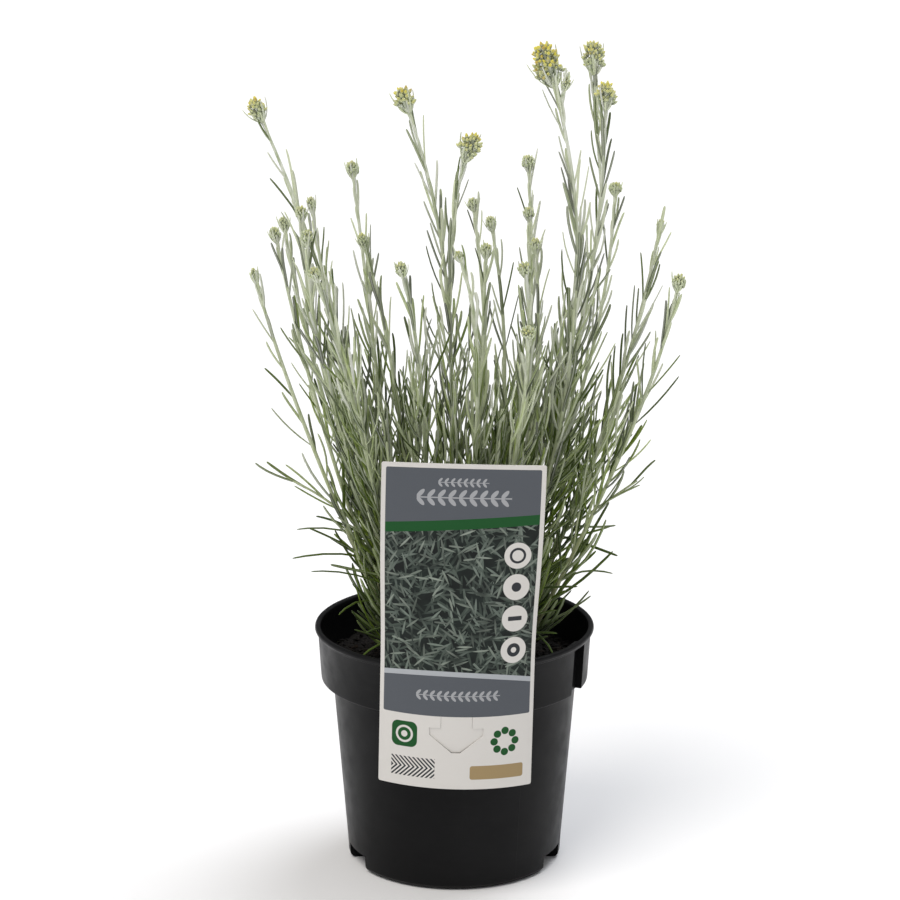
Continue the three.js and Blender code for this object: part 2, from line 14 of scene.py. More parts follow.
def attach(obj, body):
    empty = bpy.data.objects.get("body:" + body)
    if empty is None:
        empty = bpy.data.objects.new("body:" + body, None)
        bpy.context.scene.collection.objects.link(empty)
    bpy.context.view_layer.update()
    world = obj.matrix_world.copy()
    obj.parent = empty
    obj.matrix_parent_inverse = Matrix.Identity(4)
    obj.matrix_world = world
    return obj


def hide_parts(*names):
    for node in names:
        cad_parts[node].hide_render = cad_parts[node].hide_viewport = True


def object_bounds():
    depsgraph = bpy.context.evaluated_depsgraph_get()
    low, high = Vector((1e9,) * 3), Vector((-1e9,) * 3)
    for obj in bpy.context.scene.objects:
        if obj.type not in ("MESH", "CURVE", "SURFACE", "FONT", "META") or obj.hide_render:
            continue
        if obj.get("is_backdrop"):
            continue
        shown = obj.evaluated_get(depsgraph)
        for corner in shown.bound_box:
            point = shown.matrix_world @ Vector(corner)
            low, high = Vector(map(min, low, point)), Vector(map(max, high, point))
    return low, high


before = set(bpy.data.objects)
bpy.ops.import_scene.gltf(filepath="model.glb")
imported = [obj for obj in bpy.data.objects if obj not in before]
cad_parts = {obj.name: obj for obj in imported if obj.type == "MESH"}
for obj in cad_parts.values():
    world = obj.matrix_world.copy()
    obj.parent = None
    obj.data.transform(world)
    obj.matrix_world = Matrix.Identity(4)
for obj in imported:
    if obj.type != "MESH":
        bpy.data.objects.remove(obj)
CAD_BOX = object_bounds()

bl_info = {
    "name": "Potted curry plant",
    "version": (1, 0, 0),
    "blender": (4, 5, 0),
    "location": "View3D > Sidebar > Plant",
    "description": "Makes a potted curry plant piece by piece around its packed model",
    "category": "Add Mesh",
}

MM = 0.001
GOLDEN_ANGLE = math.radians(137.508)
UP = Vector((0, 0, 1))

# The pot: radii are outside ones, at the heights that go with them.
POT_HEIGHT = 122.8
POT_WALL = 1.2
BEAD_RADIUS = 1.5
RIM_RADIUS = 70.3
COLLAR_TOP = (68.8, 119.6)
COLLAR_FOOT = (67.3, 95.2)
SHOULDER_RADIUS = 61.4
FOOT_TOP = (54.2, 3.7)
BASE_RADIUS = 48.2
# The recess for a tag in the right of the collar, open at the bottom. Azimuths count from the front.
RECESS_AZIMUTH = 64.7
RECESS_WIDTH = 12.7
RECESS_DEPTH = 3.4
RECESS_TOP = 119.0
# The drain notches, which take the corner off where the pot's wall meets its base.
NOTCH_AZIMUTHS = (-66.5, 66.5, 113.5, -113.5)
NOTCH_WIDTH = 20
NOTCH_TOP = 8.5
NOTCH_INTO_BASE = 2
PARTING_AZIMUTH = math.radians(34)
SIDE_GAP = 0.35

MIX_SURFACE = 103
MIX_CRUMB = 0.8
MIX_RINGS = 34
CRUMB_KINDS = 5
CRUMB_CORNERS = 14

# The label: a stiff card, turned a little to the right and curved round the pot below the rim.
CARD_WIDTH = 78
CARD_HEIGHT = 163
CARD_THICKNESS = 0.7
CARD_FOOT = 60.5
CARD_LEAN = math.radians(1.6)
CARD_FLAT_ABOVE = 223
CARD_TOP_CURVE = 0.12
CARD_CELLS = (52, 104)
# The die-cut arrow in the card, from the top of its neck to its tip, and how far it is pushed back.
ARROW_TOP = 38
ARROW_NECK = 15.2
ARROW_WINGS = 26
ARROW_NECK_HEIGHT = 7
ARROW_WING_HEIGHT = 3.6
ARROW_HEIGHT = 19.5
ARROW_SLIT = 0.12
ARROW_PUSH = math.radians(3)

# The plant's stems and leaves. A stem's radii run from its foot to its top.
STEM_RADII = (1.25, 0.95, 0.95, 0.75)
STEM_DEPTH = 8
CROWN_ACROSS = 0.43
CROWN_DEEP = 0.6
LEAF_LOW_LENGTH = 33
LEAF_TOP_LENGTH = 18
LEAF_LOW_ANGLE = 42
LEAF_TOP_ANGLE = 16
LEAF_PITCH = 5.2
LEAVES_IN_FOOT = 8
LEAF_CROWDING = 1.5
LEAF_FIRST = 0.045
LEAF_REACH = 0.93
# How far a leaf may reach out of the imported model's box, and how far it stays from the mix, from the
# inside of the pot's wall, and from the tops of the rim and the label.
BOX_MARGIN = 1.5
CLEAR_OF_MIX = 3
CLEAR_OF_WALL = 6
CLEAR_OF_TOP = 2
# Branches longer than this bear leaves.
LEAFY_BRANCH_FROM = 20
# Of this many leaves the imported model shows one.
LEAVES_PER_PACKED_LEAF = 3
# The dense part of the bush, seen from the front: its left and right edge at each height, and what share
# of the leaves stands there.
BUSH = (
    (100, -42, 44, 0.65),
    (140, -46, 54, 0.55),
    (155, -50, 60, 0.5),
    (176, -54, 68, 0.5),
    (197, -55, 77, 0.6),
    (217, -55, 82, 0.7),
    (238, -57, 86, 0.85),
    (258, -62, 82, 0.95),
    (278, -67, 66, 1.0),
    (290, -66, 56, 1.0),
)
# How far outside these edges the bush thins out to nothing.
BUSH_FADE = 9
# Where the background shows through the bush: how far across and up each gap is, and how wide.
HOLLOWS = ((19, 272, 32), (24, 246, 20), (66, 262, 14), (-26, 258, 14), (-50, 262, 12))

# Each shoot: two points that its stem passes, about a third and two thirds of the way up, the point
# where it ends, and the width and height of its flower head. The stem starts in the crown.
SHOOTS = (
    ("01", (-38, 2, 189), (-60, 3, 281), (-93, 5, 375), (12, 13)),
    ("02", (-38, 19, 168), (-56, 30, 240), (-71, 44, 323), (5, 9)),
    ("03", (-43, -4, 177), (-64, -5, 252), (-74, -8, 328), (6, 8)),
    ("04", (-45, 12, 169), (-67, 18, 240), (-84, 26, 317), (6, 8)),
    ("05", (-49, 3, 170), (-70, 5, 241), (-87, 8, 315), (6, 8)),
    ("06", (-40, -16, 178), (-61, -24, 251), (-70, -34, 321), (6, 8)),
    ("07", (-51, -10, 168), (-76, -16, 236), (-95, -22, 300), None),
    ("08", (-34, -27, 177), (-49, -43, 249), (-64, -62, 309), (6, 8)),
    ("09", (-29, 25, 171), (-40, 39, 249), (-51, 58, 339), (7, 9)),
    ("10", (-20, 7, 168), (-29, 10, 239), (-44, 14, 311), (6, 8)),
    ("11", (-2, -1, 192), (-3, -1, 285), (-22, -2, 380), (12, 14)),
    ("13", (12, 28, 166), (16, 45, 236), (10, 66, 321), (6, 7)),
    ("14", (18, 13, 167), (25, 22, 237), (19, 34, 316), (6, 8)),
    ("15", (10, -7, 171), (13, -10, 243), (15, -14, 311), (6, 8)),
    ("16", (-12, -25, 177), (-16, -41, 251), (-24, -60, 311), (6, 8)),
    ("17", (7, -28, 180), (11, -46, 256), (3, -66, 319), (5, 6)),
    ("18", (46, -12, 199), (59, -17, 298), (47, -24, 395), (16, 23)),
    ("20", (45, 1, 191), (65, 4, 287), (73, 8, 380), (12, 15)),
    ("21", (28, 31, 171), (38, 49, 247), (38, 72, 340), (7, 9)),
    ("22", (28, 15, 170), (36, 20, 242), (37, 30, 322), (6, 7)),
    ("23", (31, 2, 168), (40, 3, 240), (40, 4, 310), (6, 8)),
    ("24", (26, -15, 172), (35, -25, 243), (34, -36, 306), (7, 8)),
    ("25", (22, -32, 169), (31, -52, 235), (34, -76, 285), (7, 7)),
    ("26", (42, 23, 169), (67, 36, 244), (81, 54, 331), (7, 7)),
    ("27", (55, 9, 168), (81, 15, 238), (101, 22, 316), None),
    ("28", (62, -13, 169), (90, -22, 238), (106, -34, 299), (7, 9)),
)
# Two stems end in a slim green bud head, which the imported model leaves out: its width and its height.
SLIM_TIPS = {"07": (4.4, 8.5), "27": (4.6, 8.5)}
# Side branches near the top of a stem: where on the stem each leaves, its bend, its end and its head.
BRANCHES = (
    ("12", "11", 0.66, (-2, -6, 338), (5, -12, 358), (13.5, 16.5)),
    ("19", "20", 0.86, (69, 16, 376), (68, 18, 396), (13.5, 17.5)),
    ("18_side_bud", "18", 0.9, (49, -28, 387), (51, -32, 394), (5, 8)),
)
# Long low leaves that arch out of the crown over the rim or down inside it: the stem that each grows
# from, how far up that stem, its highest bend and its tip.
ARCHING_LEAVES = (
    ("03", 0.24, (-57, -12, 162), (-80, -20, 162)),
    ("08", 0.2, (-49, -28, 156), (-70, -36, 160)),
    ("08", 0.23, (-46, -22, 156), (-61, -24, 160)),
    ("03", 0.28, (-58, 0, 171), (-79, 4, 170)),
    ("04", 0.3, (-56, 13, 170), (-70, 18, 173)),
    ("03", 0.13, (-44, -16, 139), (-57, -30, 136)),
    ("08", 0.1, (-32, -32, 130), (-43, -46, 132)),
    ("08", 0.07, (-32, -36, 124), (-45, -49, 121)),
    ("27", 0.32, (66, -2, 164), (81, -12, 161)),
    ("28", 0.23, (64, -9, 152), (79, -6, 150)),
    ("24", 0.2, (42, -27, 149), (60, -38, 153)),
    ("26", 0.28, (62, 24, 161), (80, 28, 165)),
    ("27", 0.35, (69, 9, 170), (81, 8, 171)),
    ("25", 0.12, (34, -30, 134), (50, -38, 141)),
    ("25", 0.1, (34, -36, 128), (50, -44, 131)),
    ("24", 0.1, (36, -32, 129), (48, -49, 122)),
    ("21", 0.12, (24, 46, 139), (36, 60, 136)),
    ("09", 0.16, (-24, 44, 146), (-32, 66, 144)),
    ("13", 0.16, (6, 46, 148), (4, 70, 148)),
)
# Low side shoots that arch out of the bush, in the same terms.
ARCHING_SHOOTS = (
    ("03", 0.28, (-60, -8, 186), (-83, -12, 201)),
    ("27", 0.33, (75, 0, 185), (90, -10, 199)),
    ("27", 0.38, (74, 12, 195), (85, 15, 208)),
)

# The camera that the photograph was taken with.
CAMERA_PLACE = (-2.23, -1336.7, 553.9)
CAMERA_PITCH = math.radians(14.34)
CAMERA_LENS = 111.16


def colour(code):
    """Linear red, green, blue and alpha from an sRGB hex value."""
    shares = [int(code[start:start + 2], 16) / 255 for start in (0, 2, 4)]
    linear = [share / 12.92 if share <= 0.04045 else ((share + 0.055) / 1.055) ** 2.4 for share in shares]
    return (*linear, 1.0)


def length_property(name, description, millimetres):
    return FloatProperty(
        name=name, description=description, default=millimetres * MM, min=0, unit="LENGTH", precision=5
    )


def colour_property(name, description, code):
    return FloatVectorProperty(
        name=name, description=description, default=colour(code), size=4, min=0, max=1, subtype="COLOR"
    )


def share_property(name, description, share):
    return FloatProperty(
        name=name, description=description, default=share, min=0, max=1, subtype="FACTOR"
    )


class PotSettings(bpy.types.PropertyGroup):
    segments: IntProperty(
        name="Segments", description="Faces round the pot", default=180, min=24, max=360
    )
    plastic: colour_property("Plastic", "Colour of the moulded pot", "121213")
    scuffs: share_property("Scuffs", "How much the handling marks show", 0.5)


class MixSettings(bpy.types.PropertyGroup):
    crumb_size: length_property("Crumb size", "Mean length of a bark crumb", 4.2)
    crumbs_per_square_centimetre: FloatProperty(
        name="Crumbs per cm2", description="How densely the crumbs lie", default=9, min=0, max=30
    )
    bark: colour_property("Bark", "Colour of the composted bark", "1b1612")


class LabelSettings(bpy.types.PropertyGroup):
    border: length_property("Border", "White margin round the print", 2.2)
    slate: colour_property("Slate", "Colour of the printed panels", "565a60")
    leaf_green: colour_property("Leaf green", "Colour of the band and the spots", "124f21")
    tan: colour_property("Tan", "Colour of the small block", "a08a63")
    card: colour_property("Card", "Colour of the bare card", "d8d5d0")


class FoliageSettings(bpy.types.PropertyGroup):
    leaf_width: length_property("Leaf width", "Width of a leaf at its middle", 1.45)
    leaf_thickness: length_property("Leaf thickness", "Thickness of a leaf", 0.95)
    green: colour_property("Green", "Colour of the leaves low in the plant", "7b8c4b")
    silver: colour_property("Silver", "Colour of the felt high in the plant", "d6dbc5")
    stem: colour_property("Stem", "Colour of the felted stems", "e6e9dd")


class HeadSettings(bpy.types.PropertyGroup):
    bud_length: length_property("Bud length", "Length of a bud in an open head", 3.8)
    bud_width: length_property("Bud width", "Width of a bud in an open head", 2.05)
    yellow: colour_property("Yellow", "Colour of the ripe bud tips", "e2d53f")
    green: colour_property("Green", "Colour of the unripe buds", "aebc86")


class StageSettings(bpy.types.PropertyGroup):
    floor: colour_property("Floor", "Colour of the plain floor", "fbfbfb")
    light: FloatProperty(
        name="Light", description="Strength of the two soft lights together", default=2.9, min=0
    )


SETTINGS = {
    "plant_pot": PotSettings,
    "plant_mix": MixSettings,
    "plant_label": LabelSettings,
    "plant_foliage": FoliageSettings,
    "plant_heads": HeadSettings,
    "plant_stage": StageSettings,
}


# Building node trees


# Short names for the two nodes used most. Any other name in capitals is a maths operation.
SHORT_NAMES = {
    "BLEND": ("ShaderNodeMix", {"data_type": "RGBA"}),
    "RANGE": ("ShaderNodeMapRange", {}),
}


def feed(tree, socket, value):
    """Sets a socket to a value, or links it to a socket or to a node's first output in use."""
    if isinstance(value, bpy.types.Node):
        value = next(output for output in value.outputs if output.enabled)
    if isinstance(value, bpy.types.NodeSocket):
        tree.links.new(value, socket)
    else:
        socket.default_value = value


def add(tree, kind, *values, **settings):
    """Adds a node with its settings, and feeds its inputs in their order, or by name from a dictionary.
    A range takes its value from low..high to 0..1, or to two given shares, and holds it there."""
    if kind.isupper():
        kind, more = SHORT_NAMES.get(kind, ("ShaderNodeMath", {"operation": kind}))
        settings.update(more)
    made = tree.nodes.new(kind)
    for name, value in settings.items():
        setattr(made, name, value)
    given = values[0] if values and isinstance(values[0], dict) else dict(enumerate(values))
    for key, value in given.items():
        usable = [socket for socket in made.inputs if socket.enabled]
        socket = usable[key] if isinstance(key, int) else next(s for s in usable if s.name == key)
        feed(tree, socket, value)
    return made


def grain(tree, place, size, detail=3.0, stretch=(1, 1, 1)):
    """Noise whose lumps are about as large as size, in millimetres, on a place in metres."""
    scale = tuple(share / (size * MM) for share in stretch)
    scaled = add(tree, "ShaderNodeVectorMath", place, scale, operation="MULTIPLY")
    return add(tree, "ShaderNodeTexNoise", {"Vector": scaled, "Scale": 1.0, "Detail": detail})


def layered(tree, base, *layers):
    """Lays colours over a base in their order: each layer is a share and a colour."""
    for share, tint in layers:
        base = add(tree, "BLEND", share, base, tint)
    return base


def new_material(name, *wanted):
    """A material with its tree, the place on the piece in metres, and the wanted ones of the values that
    the piece's points hold."""
    material = bpy.data.materials.new(name)
    material.use_nodes = True
    tree = material.node_tree
    place = add(tree, "ShaderNodeTexCoord").outputs["Object"]
    held = [add(tree, "ShaderNodeAttribute", attribute_name=label).outputs["Fac"] for label in wanted]
    return material, tree, place, *held


def painted(material, values, height=None, depth=0.0):
    """Feeds the shader's inputs by name, and raises the surface by height times depth, in millimetres."""
    tree = material.node_tree
    shader = tree.nodes["Principled BSDF"]
    for name, value in values.items():
        feed(tree, shader.inputs[name], value)
    if height is not None:
        raised = add(tree, "ShaderNodeBump", {"Height": height, "Strength": 1.0, "Distance": depth * MM})
        feed(tree, shader.inputs["Normal"], raised)
    return material


def new_group(name, inputs):
    """A geometry node tree with named inputs, each with its kind of socket, after the geometry itself."""
    tree = bpy.data.node_groups.new(name, "GeometryNodeTree")
    for label, kind in (("Geometry", "Geometry"), *inputs):
        tree.interface.new_socket(label, in_out="INPUT", socket_type=f"NodeSocket{kind}")
    tree.interface.new_socket("Geometry", in_out="OUTPUT", socket_type="NodeSocketGeometry")
    return tree, add(tree, "NodeGroupInput").outputs


# Building meshes


def link(piece):
    bpy.context.scene.collection.objects.link(piece)
    return piece


def mesh_piece(name, points, faces):
    """An object from points in millimetres and faces."""
    mesh = bpy.data.meshes.new(name)
    mesh.from_pydata([Vector(point) * MM for point in points], [], faces)
    mesh.update()
    return link(bpy.data.objects.new(name, mesh))


def evaluated_copy(piece):
    """Replaces the piece's mesh by the result of its modifiers, and removes them."""
    graph = bpy.context.evaluated_depsgraph_get()
    finished = bpy.data.meshes.new_from_object(piece.evaluated_get(graph))
    finished.name = piece.name
    piece.modifiers.clear()
    piece.data = finished
    return piece


def join_or_cut(piece, tool, operation):
    """Joins a tool to a piece, or cuts it out, and removes the tool."""
    modifier = piece.modifiers.new(operation, "BOOLEAN")
    modifier.operation = operation
    modifier.solver = "EXACT"
    modifier.object = tool
    evaluated_copy(piece)
    bpy.data.objects.remove(tool)


def seat(piece, slot, *nodes):
    """Seats a finished piece: it rides on the one body, and the imported nodes that it stands for are hidden.
    """
    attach(piece, "root")
    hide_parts(*nodes)


def turned(name, outline, segments):
    """A closed solid turned about Z from an outline of (radius, height) that starts and ends on the axis."""
    points = [(0, 0, outline[0][1])]
    for turn in range(segments):
        angle = 2 * math.pi * turn / segments
        points += [(radius * math.cos(angle), radius * math.sin(angle), up) for radius, up in outline[1:-1]]
    points.append((0, 0, outline[-1][1]))
    ring = len(outline) - 2
    last = len(points) - 1
    faces = []
    for turn in range(segments):
        here = 1 + turn * ring
        there = 1 + (turn + 1) % segments * ring
        faces.append((0, there, here))
        faces += [(here + i, there + i, there + i + 1, here + i + 1) for i in range(ring - 1)]
        faces.append((here + ring - 1, there + ring - 1, last))
    return mesh_piece(name, points, faces)


def prism(name, outline, placed, depth):
    """A bar of the given depth with an outline of flat points, each placed by a function of (a, b, depth)."""
    points = [placed(a, b, -depth / 2) for a, b in outline] + [placed(a, b, depth / 2) for a, b in outline]
    count = len(outline)
    faces = [tuple(range(count))[::-1], tuple(range(count, 2 * count))]
    for i in range(count):
        following = (i + 1) % count
        faces.append((i, following, count + following, count + i))
    bar = mesh_piece(name, points, faces)
    shape = bmesh.new()
    shape.from_mesh(bar.data)
    bmesh.ops.recalc_face_normals(shape, faces=shape.faces)
    shape.to_mesh(bar.data)
    shape.free()
    return bar


def outward_at(azimuth):
    """The direction out of the pot at an azimuth in degrees, counted from the front."""
    angle = math.radians(azimuth)
    return Vector((math.sin(angle), -math.cos(angle), 0))


def bar_across_wall(name, section, width, azimuth):
    """A straight bar across the pot's wall: its section is drawn in radius and height."""
    outward = outward_at(azimuth)
    sideways = Vector((-outward.y, outward.x, 0))
    return prism(name, section, lambda a, b, depth: outward * a + sideways * depth + UP * b, width)


def arc(centre, radius, start, end, steps):
    """Points on an arc in radius and height, from one angle to another in degrees."""
    turns = [math.radians(start + (end - start) * i / steps) for i in range(steps + 1)]
    return [(centre[0] + radius * math.cos(turn), centre[1] + radius * math.sin(turn)) for turn in turns]


def dress(piece, degrees, *materials):
    """Shades a piece smooth, with edges left sharp where the faces turn by more than some degrees, and
    gives it its materials."""
    piece.data.polygons.foreach_set("use_smooth", [True] * len(piece.data.polygons))
    piece.data.set_sharp_from_angle(angle=math.radians(degrees))
    piece.data.update()
    # Clearing also gives every face the first material, so a second one is not seen: the label's back and
    # edges show the print.
    piece.data.materials.clear()
    for material in materials:
        piece.data.materials.append(material)


# The pot


def pot_outline():
    """The pot's wall from the middle of its base outside, over the rim, to the middle inside."""
    bead = (RIM_RADIUS - BEAD_RADIUS, POT_HEIGHT - BEAD_RADIUS)
    collar_radius, collar_height = COLLAR_TOP
    skirt_radius, skirt_height = COLLAR_FOOT
    foot_radius, foot_height = FOOT_TOP
    inner_shoulder = SHOULDER_RADIUS - POT_WALL
    return [
        (0, 0.8),
        (30, 0.8),
        (31, 0),
        (BASE_RADIUS, 0),
        (foot_radius - 1.3, 0.9),
        *arc((foot_radius - 1.7, foot_height - 0.6), 1.7, -50, 0, 4),
        (foot_radius + 0.05, foot_height),
        (foot_radius + 0.4, foot_height + 6),
        (SHOULDER_RADIUS - 0.6, skirt_height - 8),
        (SHOULDER_RADIUS - 0.1, skirt_height - 1.2),
        *arc((SHOULDER_RADIUS + 0.9, skirt_height - 0.9), 0.9, 180, 90, 4),
        *arc((skirt_radius - 0.7, skirt_height + 0.7), 0.7, -90, 0, 4),
        (skirt_radius + 0.1, skirt_height + 2),
        (collar_radius - 0.1, collar_height - 1.2),
        *arc((collar_radius + 0.8, collar_height - 1), 0.8, 180, 110, 3),
        *arc(bead, BEAD_RADIUS, -60, 160, 12),
        (collar_radius - POT_WALL, collar_height),
        *arc((skirt_radius - POT_WALL - 1, skirt_height + POT_WALL + 1), 1, 0, -90, 4),
        *arc((inner_shoulder + 0.6, skirt_height + POT_WALL - 0.6), 0.6, 90, 180, 4),
        (foot_radius - POT_WALL, foot_height + 1.5),
        *arc((BASE_RADIUS - 1, 3.5), 2, 0, -90, 4),
        (0, 1.5),
    ]


def pot_mesh(segments):
    pot = turned("nursery_pot", pot_outline(), segments)
    skirt_radius, skirt_height = COLLAR_FOOT
    floor = skirt_radius - RECESS_DEPTH
    backing = [
        (floor - POT_WALL, skirt_height + 0.1),
        (skirt_radius - POT_WALL / 2, skirt_height + 0.1),
        (COLLAR_TOP[0] - POT_WALL / 2, RECESS_TOP + POT_WALL),
        (floor - POT_WALL, RECESS_TOP),
    ]
    recess = [
        (floor, skirt_height - 1),
        (floor + 10, skirt_height - 1),
        (floor + 10, RECESS_TOP),
        (floor + 0.8, RECESS_TOP),
        (floor, RECESS_TOP - 0.8),
    ]
    notch_in, notch_out = BASE_RADIUS - NOTCH_INTO_BASE, FOOT_TOP[0] + 4
    notch = [(notch_in, -1), (notch_out, -1), (notch_out, NOTCH_TOP), (notch_in, NOTCH_TOP)]
    bars = [
        ("backing", backing, RECESS_WIDTH + 2 * POT_WALL, RECESS_AZIMUTH, "UNION"),
        ("recess", recess, RECESS_WIDTH, RECESS_AZIMUTH, "DIFFERENCE"),
        *[("notch", notch, NOTCH_WIDTH, azimuth, "DIFFERENCE") for azimuth in NOTCH_AZIMUTHS],
    ]
    for *shape, operation in bars:
        join_or_cut(pot, bar_across_wall(*shape), operation)
    return pot


def moulded_polypropylene(settings):
    """Black polypropylene from an injection mould: a satin skin with a faint orange-peel, darker where it
    is new and greyed by rubbing on the collar, the bead and the foot."""
    material, tree, place = new_material("moulded black polypropylene")
    axes = add(tree, "ShaderNodeSeparateXYZ", place).outputs
    # Rubbing marks run round the pot, 12 mm long and 1.5 mm high.
    marks = grain(tree, place, 6, 5.0, (0.5, 0.5, 4.0))
    rubbed = add(tree, "RANGE", marks, 0.52, 0.75, 0.0, 0.45)
    collar = add(tree, "RANGE", axes["Z"], 0.09, 0.123, 0.25, 1.0)
    wear = add(tree, "MULTIPLY", add(tree, "MULTIPLY", rubbed, collar), settings.scuffs)
    dust = add(tree, "RANGE", grain(tree, place, 22, 4.0), 0.45, 0.8, 0.0, 0.12)
    rough = add(tree, "RANGE", grain(tree, place, 9, 4.0), 0.3, 0.7, 0.33, 0.46)
    # The orange-peel is 0.9 mm across, and the mould's parting line stands 0.06 mm proud at one side.
    peel = grain(tree, place, 0.9, 2.0)
    around = add(tree, "ARCTAN2", axes["X"], add(tree, "MULTIPLY", axes["Y"], -1.0))
    away = add(tree, "ABSOLUTE", add(tree, "SUBTRACT", around, PARTING_AZIMUTH))
    parting = add(tree, "RANGE", away, 0.0, 0.006, 1.0, 0.0)
    height = add(tree, "ADD", add(tree, "MULTIPLY", peel, 0.35), parting)
    values = {
        "Base Color": layered(
            tree, tuple(settings.plastic), (add(tree, "ADD", wear, dust), colour("2b2b2b"))
        ),
        "Roughness": add(tree, "ADD", rough, add(tree, "MULTIPLY", wear, 0.3)),
        "IOR": 1.49,
        "Specular IOR Level": 0.11,
    }
    return painted(material, values, height, 0.06)


class PLANT_OT_pot(bpy.types.Operator):
    """Makes the nursery pot"""

    bl_idname = "potted_plant.pot"
    bl_label = "Nursery pot"

    def execute(self, context):
        settings = context.scene.plant_pot
        pot = pot_mesh(settings.segments)
        dress(pot, 35, moulded_polypropylene(settings))
        seat(pot, "pot_plastic", "pot")
        return {"FINISHED"}


# The potting mix


def mix_height(x, y):
    lumps = math.sin(0.31 * x + 0.9) * math.sin(0.27 * y) + 0.6 * math.sin(0.83 * x - 0.71 * y)
    return MIX_SURFACE + MIX_CRUMB * lumps


def mix_mesh():
    """The body of the mix, a turned plug whose top is lumpy."""
    skirt_radius, skirt_height = COLLAR_FOOT
    ledge = skirt_height + POT_WALL + SIDE_GAP
    ledge_radius = SHOULDER_RADIUS - POT_WALL - SIDE_GAP
    rim_radius = skirt_radius - POT_WALL - SIDE_GAP
    top = [(rim_radius * (MIX_RINGS - i) / MIX_RINGS, MIX_SURFACE) for i in range(MIX_RINGS)]
    outline = [
        (0, 1.5 + SIDE_GAP),
        (BASE_RADIUS - 4, 1.5 + SIDE_GAP),
        (FOOT_TOP[0] - POT_WALL - 1.6, 9.5),
        (ledge_radius, ledge),
        (rim_radius, ledge),
        *top,
        (0, MIX_SURFACE),
    ]
    plug = turned("potting_mix_crumb", outline, 120)
    outward = outward_at(RECESS_AZIMUTH)
    recess_back = skirt_radius - RECESS_DEPTH - POT_WALL - SIDE_GAP
    for vertex in plug.data.vertices:
        x, y, z = vertex.co / MM
        if z > MIX_SURFACE - 0.5:
            fine = noise.fractal(Vector((x, y, 0)) / 7, 1.0, 2.0, 4)
            vertex.co.z = (mix_height(x, y) + 1.3 * fine - 0.6) * MM
        past_recess = Vector((x, y, 0)).dot(outward) - recess_back
        beside_recess = abs(Vector((x, y, 0)).cross(outward).z) < RECESS_WIDTH / 2 + 3
        if past_recess > 0 and beside_recess and z > skirt_height - 1:
            vertex.co -= outward * past_recess * MM
    return plug


def crumb_object(number):
    """One angular crumb of bark: the hull of a few seeded points."""
    shape = bmesh.new()
    for i in range(CRUMB_CORNERS):
        spot = noise.random_unit_vector()
        spot = Vector((spot.x * 0.5, spot.y * 0.32, spot.z * 0.2)) * (0.8 + 0.4 * draw(number, i, 5))
        shape.verts.new(spot)
    hull = bmesh.ops.convex_hull(shape, input=shape.verts)
    bmesh.ops.delete(shape, geom=hull["geom_interior"], context="VERTS")
    bmesh.ops.recalc_face_normals(shape, faces=shape.faces)
    mesh = bpy.data.meshes.new(f"crumb_{number}")
    shape.to_mesh(mesh)
    shape.free()
    return bpy.data.objects.new(f"crumb_{number}", mesh)


def crumb_tree(crumbs):
    """Lays crumbs over the faces that look up: density and size are inputs, and the draws are seeded."""
    sockets = (("Density", "Float"), ("Crumb size", "Float"), ("Material", "Material"))
    tree, given = new_group("scattered crumbs", sockets)
    normal = add(tree, "ShaderNodeSeparateXYZ", add(tree, "GeometryNodeInputNormal"))
    looks_up = add(tree, "FunctionNodeCompare", normal.outputs["Z"], 0.6, operation="GREATER_THAN")
    scattered = add(
        tree,
        "GeometryNodeDistributePointsOnFaces",
        {"Mesh": given["Geometry"], "Selection": looks_up, "Density": given["Density"], "Seed": 7},
    )
    kinds = add(tree, "GeometryNodeJoinGeometry")
    for crumb in crumbs:
        shape = add(tree, "GeometryNodeObjectInfo", {"Object": crumb, "As Instance": True})
        feed(tree, kinds.inputs[0], shape.outputs["Geometry"])
    spin, share, tone = [
        add(tree, "FunctionNodeRandomValue", {"Min": low, "Max": high, "Seed": seed}, data_type=data_type)
        for low, high, seed, data_type in (
            ((-0.5, -0.5, 0.0), (0.5, 0.5, 2 * math.pi), 3, "FLOAT_VECTOR"),
            (0.35, 1.35, 5, "FLOAT"),
            (0.0, 1.0, 11, "FLOAT"),
        )
    ]
    toned = add(
        tree,
        "GeometryNodeStoreNamedAttribute",
        {"Geometry": scattered.outputs["Points"], "Name": "tone", "Value": tone},
        data_type="FLOAT",
        domain="POINT",
    )
    size = add(tree, "MULTIPLY", share, given["Crumb size"])
    placed = add(
        tree,
        "GeometryNodeInstanceOnPoints",
        {"Points": toned, "Instance": kinds, "Pick Instance": True, "Rotation": spin, "Scale": size},
    )
    everything = add(tree, "GeometryNodeJoinGeometry")
    for part in (placed, given["Geometry"]):
        feed(tree, everything.inputs[0], part)
    realised = add(tree, "GeometryNodeRealizeInstances", everything)
    finished = {"Geometry": realised, "Material": given["Material"]}
    add(tree, "NodeGroupOutput", add(tree, "GeometryNodeSetMaterial", finished))
    return tree


def grow(piece, tree, values):
    """Runs a node tree on a piece, with its inputs set by their names, and keeps the result."""
    modifier = piece.modifiers.new(tree.name, "NODES")
    modifier.node_group = tree
    for item in tree.interface.items_tree:
        if item.in_out == "INPUT" and item.name in values:
            modifier[item.identifier] = values[item.name]
    return evaluated_copy(piece)


